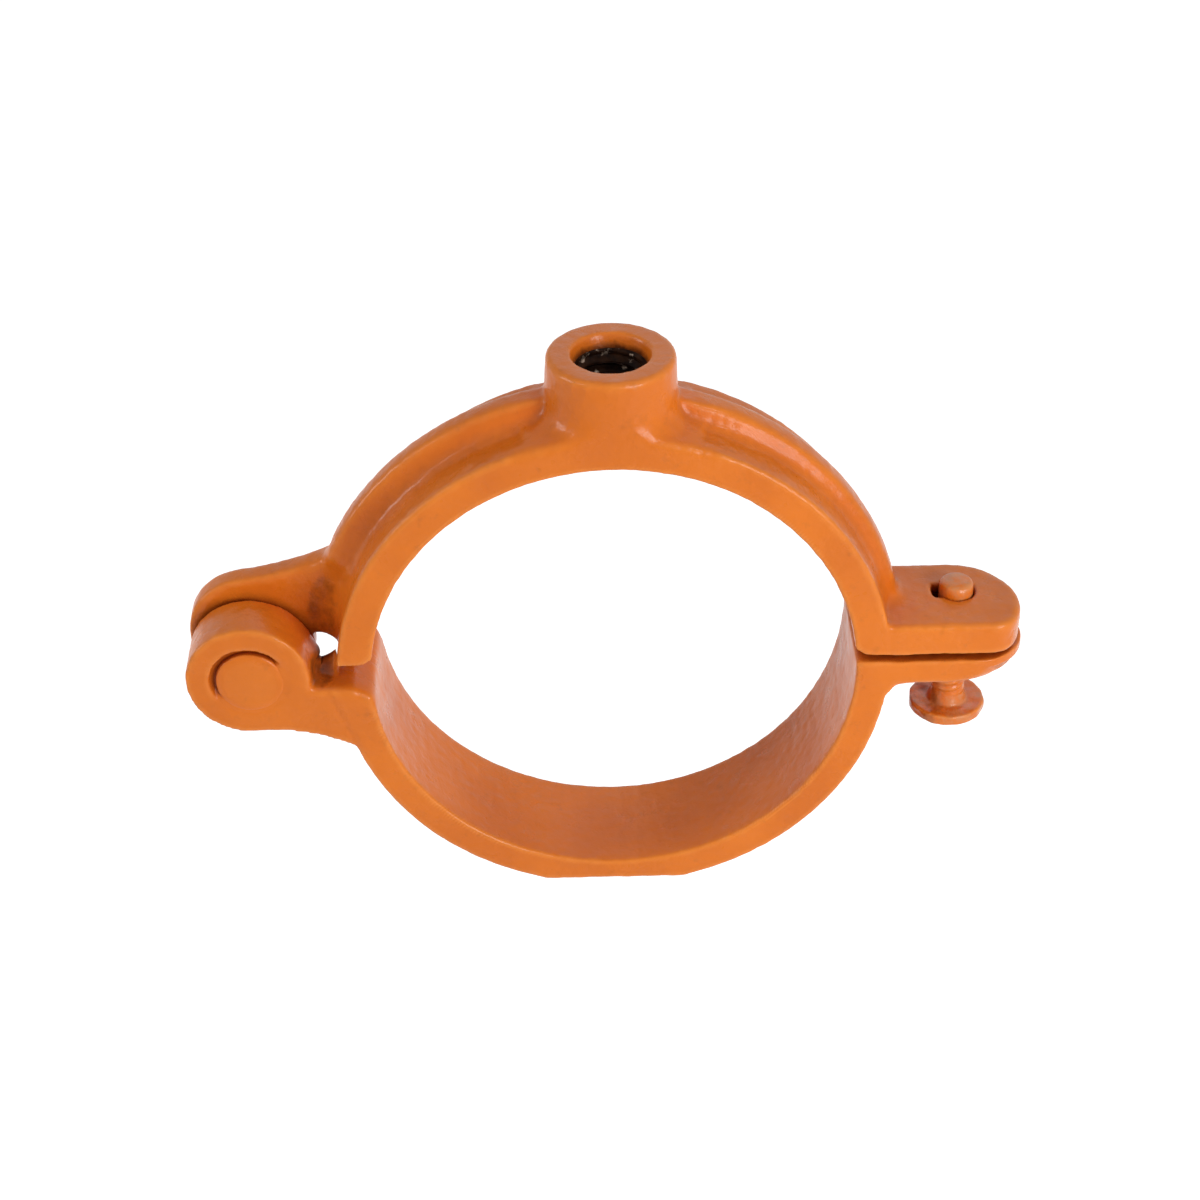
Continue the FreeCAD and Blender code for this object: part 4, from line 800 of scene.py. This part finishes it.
markEdges(pinMesh, pin["spacing"], pin["edgeSpread"])
markEdges(screwMesh, screw["voxel"], screw["edgeSpread"])
markPaintedShade(screwMesh, paintedShadePlaces["clampScrew"])


# a material's nodes, made and joined by short calls
class NodeBench:
    def __init__(self, name):
        self.material = bpy.data.materials.new(name)
        self.material.use_nodes = True
        self.tree = self.material.node_tree
        self.shader = self.tree.nodes["Principled BSDF"]
        self.place = self.add("ShaderNodeTexCoord").outputs["Object"]

    def add(self, kind, **values):
        made = self.tree.nodes.new(kind)
        for key, setting in values.items():
            setattr(made, key, setting)
        return made

    def join(self, output, entry):
        self.tree.links.new(output, entry)

    # level from 0 to 1 of a noise, by scale per metre, detail and roughness
    def noise(self, scale, detail=3.0, roughness=0.5):
        made = self.add("ShaderNodeTexNoise")
        made.inputs["Scale"].default_value = scale
        made.inputs["Detail"].default_value = detail
        made.inputs["Roughness"].default_value = roughness
        self.join(self.place, made.inputs["Vector"])
        return made.outputs["Fac"]

    # toLow where the value is low, toHigh where it is high, straight between and held beyond
    def span(self, value, low, high, toLow, toHigh):
        made = self.add("ShaderNodeMapRange")
        for key, setting in (("From Min", low), ("From Max", high),
                             ("To Min", toLow), ("To Max", toHigh)):
            made.inputs[key].default_value = setting
        self.join(value, made.inputs["Value"])
        return made.outputs["Result"]

    # sum or product of two values, each a number or a node's output
    def math(self, operation, first, second):
        made = self.add("ShaderNodeMath", operation=operation)
        for entry, value in zip(made.inputs, (first, second)):
            if isinstance(value, (int, float)):
                entry.default_value = value
            else:
                self.join(value, entry)
        return made.outputs["Value"]

    # 1 on open ground, down to 0 where the surface is sheltered within the reach
    def shelter(self, reach):
        made = self.add("ShaderNodeAmbientOcclusion", samples=4)
        made.inputs["Distance"].default_value = reach
        return made.outputs["AO"]

    # first times one minus the share plus second times the share
    def blend(self, share, first, second):
        made = self.add("ShaderNodeMix", data_type="RGBA")
        self.join(share, made.inputs[0])
        for entry, value in zip((made.inputs[6], made.inputs[7]), (first, second)):
            if isinstance(value, tuple):
                entry.default_value = (*value, 1)
            else:
                self.join(value, entry)
        return made.outputs[2]

    # normals bent by a height between 0 and the distance, on top of those below
    def bump(self, height, distance, strength, below=None):
        made = self.add("ShaderNodeBump")
        made.inputs["Distance"].default_value = distance
        made.inputs["Strength"].default_value = strength
        self.join(height, made.inputs["Height"])
        if below is not None:
            self.join(below, made.inputs["Normal"])
        return made.outputs["Normal"]


# thick copper-coloured coating over cast iron. noises: scale, detail, roughness. spans: low
# and high level, then the share or value at each; bumps: depth in metres and strength
copperCoat = {
    "deep": (0.70, 0.160, 0.010),
    "fresh": (0.80, 0.195, 0.012),
    "patchNoise": (70, 2),
    "patchSpan": (0.35, 0.65, 0, 1),
    # paler, yellower colour on ridges: thinner paint there, and a painted highlight along the
    # edges
    "thinPaintAndHighlight": (0.90, 0.300, 0.050),
    "thinPaintAndHighlightSpan": (0.020, 0.10, 0, 0.60),
    # darker colour in hollows: paint pooled there, and painted shade
    "pooledPaintAndShade": (0.44, 0.095, 0.012),
    "pooledPaintAndShadeSpan": (-0.010, -0.07, 0, 0.7),
    "shaded": (0.54, 0.100, 0.009),
    "shadedReach": 9 * mm,
    "shadedLevels": (0.84, 0.36),
    # painted shade in narrow crevices and gaps, by how sheltered the surface is within the
    # reach
    "creviceShade": (0.26, 0.036, 0.004),
    "creviceShadeReach": 2.2 * mm,
    "creviceShadeLevels": (0.66, 0.28),
    "worn": (0.32, 0.085, 0.018),
    "dull": (0.62, 0.270, 0.110),
    "mottleNoise": (420, 4, 0.65),
    "mottleWidth": 0.16,
    # painted shade at the marked places, near black, its edge made ragged by noise
    "paintedShade": (0.070, 0.016, 0.004),
    "paintedShadeNoise": (500, 4, 0.65),
    "paintedShadeRagged": (0.3, 0.7, -0.2, 0.2),
    "paintedShadeSpan": (0.22, 0.85, 0, 0.92),
    "bareIron": (0.09, 0.055, 0.04),
    "chipNoise": (900, 2, 0.6),
    "chipLevels": (0.74, 0.78),
    "chipShare": 0.8,
    "chipRidge": (0.03, 0.09, 0, 1),
    "roughNoise": (260, 3),
    "roughSpan": (0.3, 0.7, 0.24, 0.40),
    "peelNoise": (520, 3, 0.6),
    "peel": (0.00026, 0.6),
    "grainNoise": (2300, 2, 0.6),
    "grain": (0.00004, 0.5),
    "specular": 0.18,
    "coatRoughness": 0.13,
}


# mottle is (noise level where it starts, amount, colour), shine the weight of the clear
# coat and shade how much of the painted shade, broad and in crevices, sheltered places take
def makeCopperCoat(name, mottle, chipAmount, shine, shade):
    bench = NodeBench(name)
    coat = copperCoat
    patches = bench.span(bench.noise(*coat["patchNoise"]), *coat["patchSpan"])
    colour = bench.blend(patches, coat["deep"], coat["fresh"])
    ridge = bench.add("ShaderNodeAttribute", attribute_name="ridge").outputs["Fac"]
    onRidge = bench.span(ridge, *coat["thinPaintAndHighlightSpan"])
    inHollow = bench.span(ridge, *coat["pooledPaintAndShadeSpan"])
    # ridges take the paler colour: thinner paint and a painted highlight
    colour = bench.blend(onRidge, colour, coat["thinPaintAndHighlight"])
    # hollows take the darker colour: pooled paint and painted shade
    colour = bench.blend(inHollow, colour, coat["pooledPaintAndShade"])
    inShade = bench.span(bench.shelter(coat["shadedReach"]), *coat["shadedLevels"], 0, shade)
    colour = bench.blend(inShade, colour, coat["shaded"])
    # painted shade in narrow crevices and gaps
    inCreviceShade = bench.span(bench.shelter(coat["creviceShadeReach"]), *coat["creviceShadeLevels"],
                           0, shade)
    colour = bench.blend(inCreviceShade, colour, coat["creviceShade"])
    start, amount, mottleColour = mottle
    mottling = bench.span(bench.noise(*coat["mottleNoise"]), start,
                          start + coat["mottleWidth"], 0, amount)
    colour = bench.blend(mottling, colour, coat[mottleColour])
    # painted shade at the marked places, with a ragged edge
    paintedShade = bench.add("ShaderNodeAttribute", attribute_name="paintedShade").outputs["Fac"]
    ragged = bench.span(bench.noise(*coat["paintedShadeNoise"]), *coat["paintedShadeRagged"])
    inPaintedShade = bench.span(bench.math("ADD", paintedShade, ragged), *coat["paintedShadeSpan"])
    colour = bench.blend(inPaintedShade, colour, coat["paintedShade"])
    chipLow, chipHigh = coat["chipLevels"]
    specks = bench.span(bench.noise(*coat["chipNoise"]), chipLow - chipAmount,
                        chipHigh - chipAmount, 0, coat["chipShare"])
    chips = bench.math("MULTIPLY", specks, bench.span(ridge, *coat["chipRidge"]))
    colour = bench.blend(chips, colour, coat["bareIron"])
    bench.join(colour, bench.shader.inputs["Base Color"])
    rough = bench.span(bench.noise(*coat["roughNoise"]), *coat["roughSpan"])
    bench.join(rough, bench.shader.inputs["Roughness"])
    peel = bench.bump(bench.noise(*coat["peelNoise"]), *coat["peel"])
    grain = bench.bump(bench.noise(*coat["grainNoise"]), *coat["grain"], peel)
    bench.join(grain, bench.shader.inputs["Normal"])
    bench.shader.inputs["Specular IOR Level"].default_value = coat["specular"]
    bench.shader.inputs["Coat Weight"].default_value = shine
    bench.shader.inputs["Coat Roughness"].default_value = coat["coatRoughness"]
    return bench.material


# dark oily steel of the cut thread, darkened further as painted shade deep in the rod hole,
# with worn glints
bareThread = {
    "oilyAndShaded": (0.008, 0.003, 0.002),
    "dry": (0.045, 0.018, 0.008),
    "dryNoise": (500, 3),
    "drySpan": (0.4, 0.65, 0, 1),
    "glint": (0.45, 0.36, 0.28),
    "glintNoise": (650, 3, 0.6),
    "glintSpan": (0.58, 0.66, 0, 0.85),
    "roughNoise": (800, 2),
    "roughSpan": (0.3, 0.7, 0.30, 0.6),
    "bumpNoise": (900, 3),
    "bump": (0.00020, 0.8),
    "specular": 0.05,
}


# oily colour darkened as painted shade, drier in patches, and metal where the glint noise is
# high
def makeBareThread(name):
    bench = NodeBench(name)
    steel = bareThread
    dry = bench.span(bench.noise(*steel["dryNoise"]), *steel["drySpan"])
    colour = bench.blend(dry, steel["oilyAndShaded"], steel["dry"])
    glint = bench.span(bench.noise(*steel["glintNoise"]), *steel["glintSpan"])
    colour = bench.blend(glint, colour, steel["glint"])
    bench.join(colour, bench.shader.inputs["Base Color"])
    rough = bench.span(bench.noise(*steel["roughNoise"]), *steel["roughSpan"])
    bench.join(rough, bench.shader.inputs["Roughness"])
    bumps = bench.bump(bench.noise(*steel["bumpNoise"]), *steel["bump"])
    bench.join(bumps, bench.shader.inputs["Normal"])
    bench.join(glint, bench.shader.inputs["Metallic"])
    bench.shader.inputs["Specular IOR Level"].default_value = steel["specular"]
    return bench.material


castCoat = makeCopperCoat("copperCoatOnIron", (0.60, 0.25, "worn"), 0.0, 0.15, 0.82)
pinCoat = makeCopperCoat("copperCoatOnPin", (0.62, 0.25, "worn"), 0.0, 0.15, 0.82)
screwCoat = makeCopperCoat("copperCoatOnScrew", (0.44, 0.55, "dull"), 0.03, 0.35, 0.10)
cutThread = makeBareThread("cutThread")
for piece, material in ((upperCasting, castCoat), (lowerCasting, castCoat),
                        (hingePinPiece, pinCoat), (screwPiece, screwCoat),
                        (rodThreadPiece, cutThread)):
    piece.data.materials.clear()
    piece.data.materials.append(material)
print("materials made")

# floor, well below the ring so that the open lower half stays above it, and the light that
# comes from the floor itself and from the world
studio = {
    "floorHeight": -0.125,
    "floorReach": 4.0,
    "floorColour": (0.86, 0.86, 0.86, 1),
    "floorLift": 0.70,
    "worldForLight": 0.26,
}
reach, height = studio["floorReach"], studio["floorHeight"]
floorCorners = [(-reach, -reach, height), (reach, -reach, height),
                (reach, reach, height), (-reach, reach, height)]
floorMesh = bpy.data.meshes.new("floor")
floorMesh.from_pydata(floorCorners, [], [(0, 1, 2, 3)])
floor = linkObject("floor", floorMesh)
floorMaterial = bpy.data.materials.new("paleFloor")
floorMaterial.use_nodes = True
tree = floorMaterial.node_tree
tree.nodes.clear()
floorOut = tree.nodes.new("ShaderNodeOutputMaterial")
plain = tree.nodes.new("ShaderNodeBsdfDiffuse")
plain.inputs["Color"].default_value = studio["floorColour"]
lift = tree.nodes.new("ShaderNodeEmission")
both = tree.nodes.new("ShaderNodeAddShader")


# 1 for a ray from the camera, or one mirrored or let through by a surface, else 0
def seenDirectly(tree):
    rays = tree.nodes.new("ShaderNodeLightPath")
    total = rays.outputs["Is Camera Ray"]
    for kind in ("Is Glossy Ray", "Is Transmission Ray"):
        either = tree.nodes.new("ShaderNodeMath")
        either.operation = "MAXIMUM"
        tree.links.new(total, either.inputs[0])
        tree.links.new(rays.outputs[kind], either.inputs[1])
        total = either.outputs[0]
    return total


# one strength for rays that are seen, another for the rest
def strengthByRay(tree, unseen, seen):
    level = tree.nodes.new("ShaderNodeMapRange")
    level.inputs["To Min"].default_value = unseen
    level.inputs["To Max"].default_value = seen
    tree.links.new(seenDirectly(tree), level.inputs["Value"])
    return level.outputs["Result"]


tree.links.new(strengthByRay(tree, 0.0, studio["floorLift"]), lift.inputs["Strength"])
tree.links.new(plain.outputs[0], both.inputs[0])
tree.links.new(lift.outputs[0], both.inputs[1])
tree.links.new(both.outputs[0], floorOut.inputs["Surface"])
floorMesh.materials.append(floorMaterial)

# world: white where it is seen or mirrored, softer as light
world = bpy.data.worlds.new("studio")
scene.world = world
world.use_nodes = True
tree = world.node_tree
tree.links.new(strengthByRay(tree, studio["worldForLight"], 1.0),
               tree.nodes["Background"].inputs["Strength"])
tree.nodes["Background"].inputs["Color"].default_value = (1, 1, 1, 1)

# soft lamps: name, place, width and height, power in watts; each faces the ring
lamps = [
    ("keyLamp", (0.30, -0.38, 0.14), (0.23, 0.23), 1.52),
    ("leftLamp", (-0.85, -0.10, 0.25), (0.20, 0.30), 1.75),
    ("rightSpark", (0.38, -0.43, 0.55), (0.08, 0.08), 0.34),
    ("leftSpark", (-0.58, -0.39, 0.38), (0.10, 0.10), 0.36),
    ("frontLamp", (-0.45, -0.75, 0.28), (0.40, 0.40), 0.15),
    ("topLamp", (0.15, 0.05, 0.85), (0.45, 0.45), 0.24),
    ("backLamp", (0.10, 0.70, 0.45), (0.45, 0.45), 0.35),
]
target = (0, 0, 0)
for name, place, sides, power in lamps:
    light = bpy.data.lights.new(name, "AREA")
    light.shape = "RECTANGLE"
    light.size, light.size_y = sides
    light.energy = power
    lamp = bpy.data.objects.new(name, light)
    scene.collection.objects.link(lamp)
    lamp.location = place
    lamp.rotation_euler = (Vector(target) - Vector(place)).to_track_quat("-Z", "Y").to_euler()
print("studio made")

# camera at the photograph's angle; angles in degrees, distances in metres, lens and
# sensor in mm
view = {
    "elevation": 35.87,
    "azimuth": -1.39,
    "roll": -0.39,
    "distance": 0.350,
    "lens": 74.73,
    "shiftX": -0.0106,
    "shiftY": 0.0336,
    "sensor": 36,
    "nearest": 0.01,
    "farthest": 20,
}
elevation = math.radians(view["elevation"])
azimuth = math.radians(view["azimuth"])
roll = math.radians(view["roll"])
back = Vector((math.sin(azimuth) * math.cos(elevation),
               -math.cos(azimuth) * math.cos(elevation),
               math.sin(elevation)))
level = Vector((math.cos(azimuth), math.sin(azimuth), 0))
upward = back.cross(level)
right = level * math.cos(roll) + upward * math.sin(roll)
top = upward * math.cos(roll) - level * math.sin(roll)
cameraData = bpy.data.cameras.new("camera")
cameraData.lens = view["lens"]
cameraData.sensor_width = view["sensor"]
cameraData.shift_x = view["shiftX"]
cameraData.shift_y = view["shiftY"]
cameraData.clip_start = view["nearest"]
cameraData.clip_end = view["farthest"]
camera = bpy.data.objects.new("camera", cameraData)
scene.collection.objects.link(camera)
turned = Matrix((right, top, back)).transposed().to_4x4()
camera.matrix_world = Matrix.Translation(back * view["distance"]) @ turned
scene.camera = camera
scene.view_settings.view_transform = "Standard"

print("scene ready")
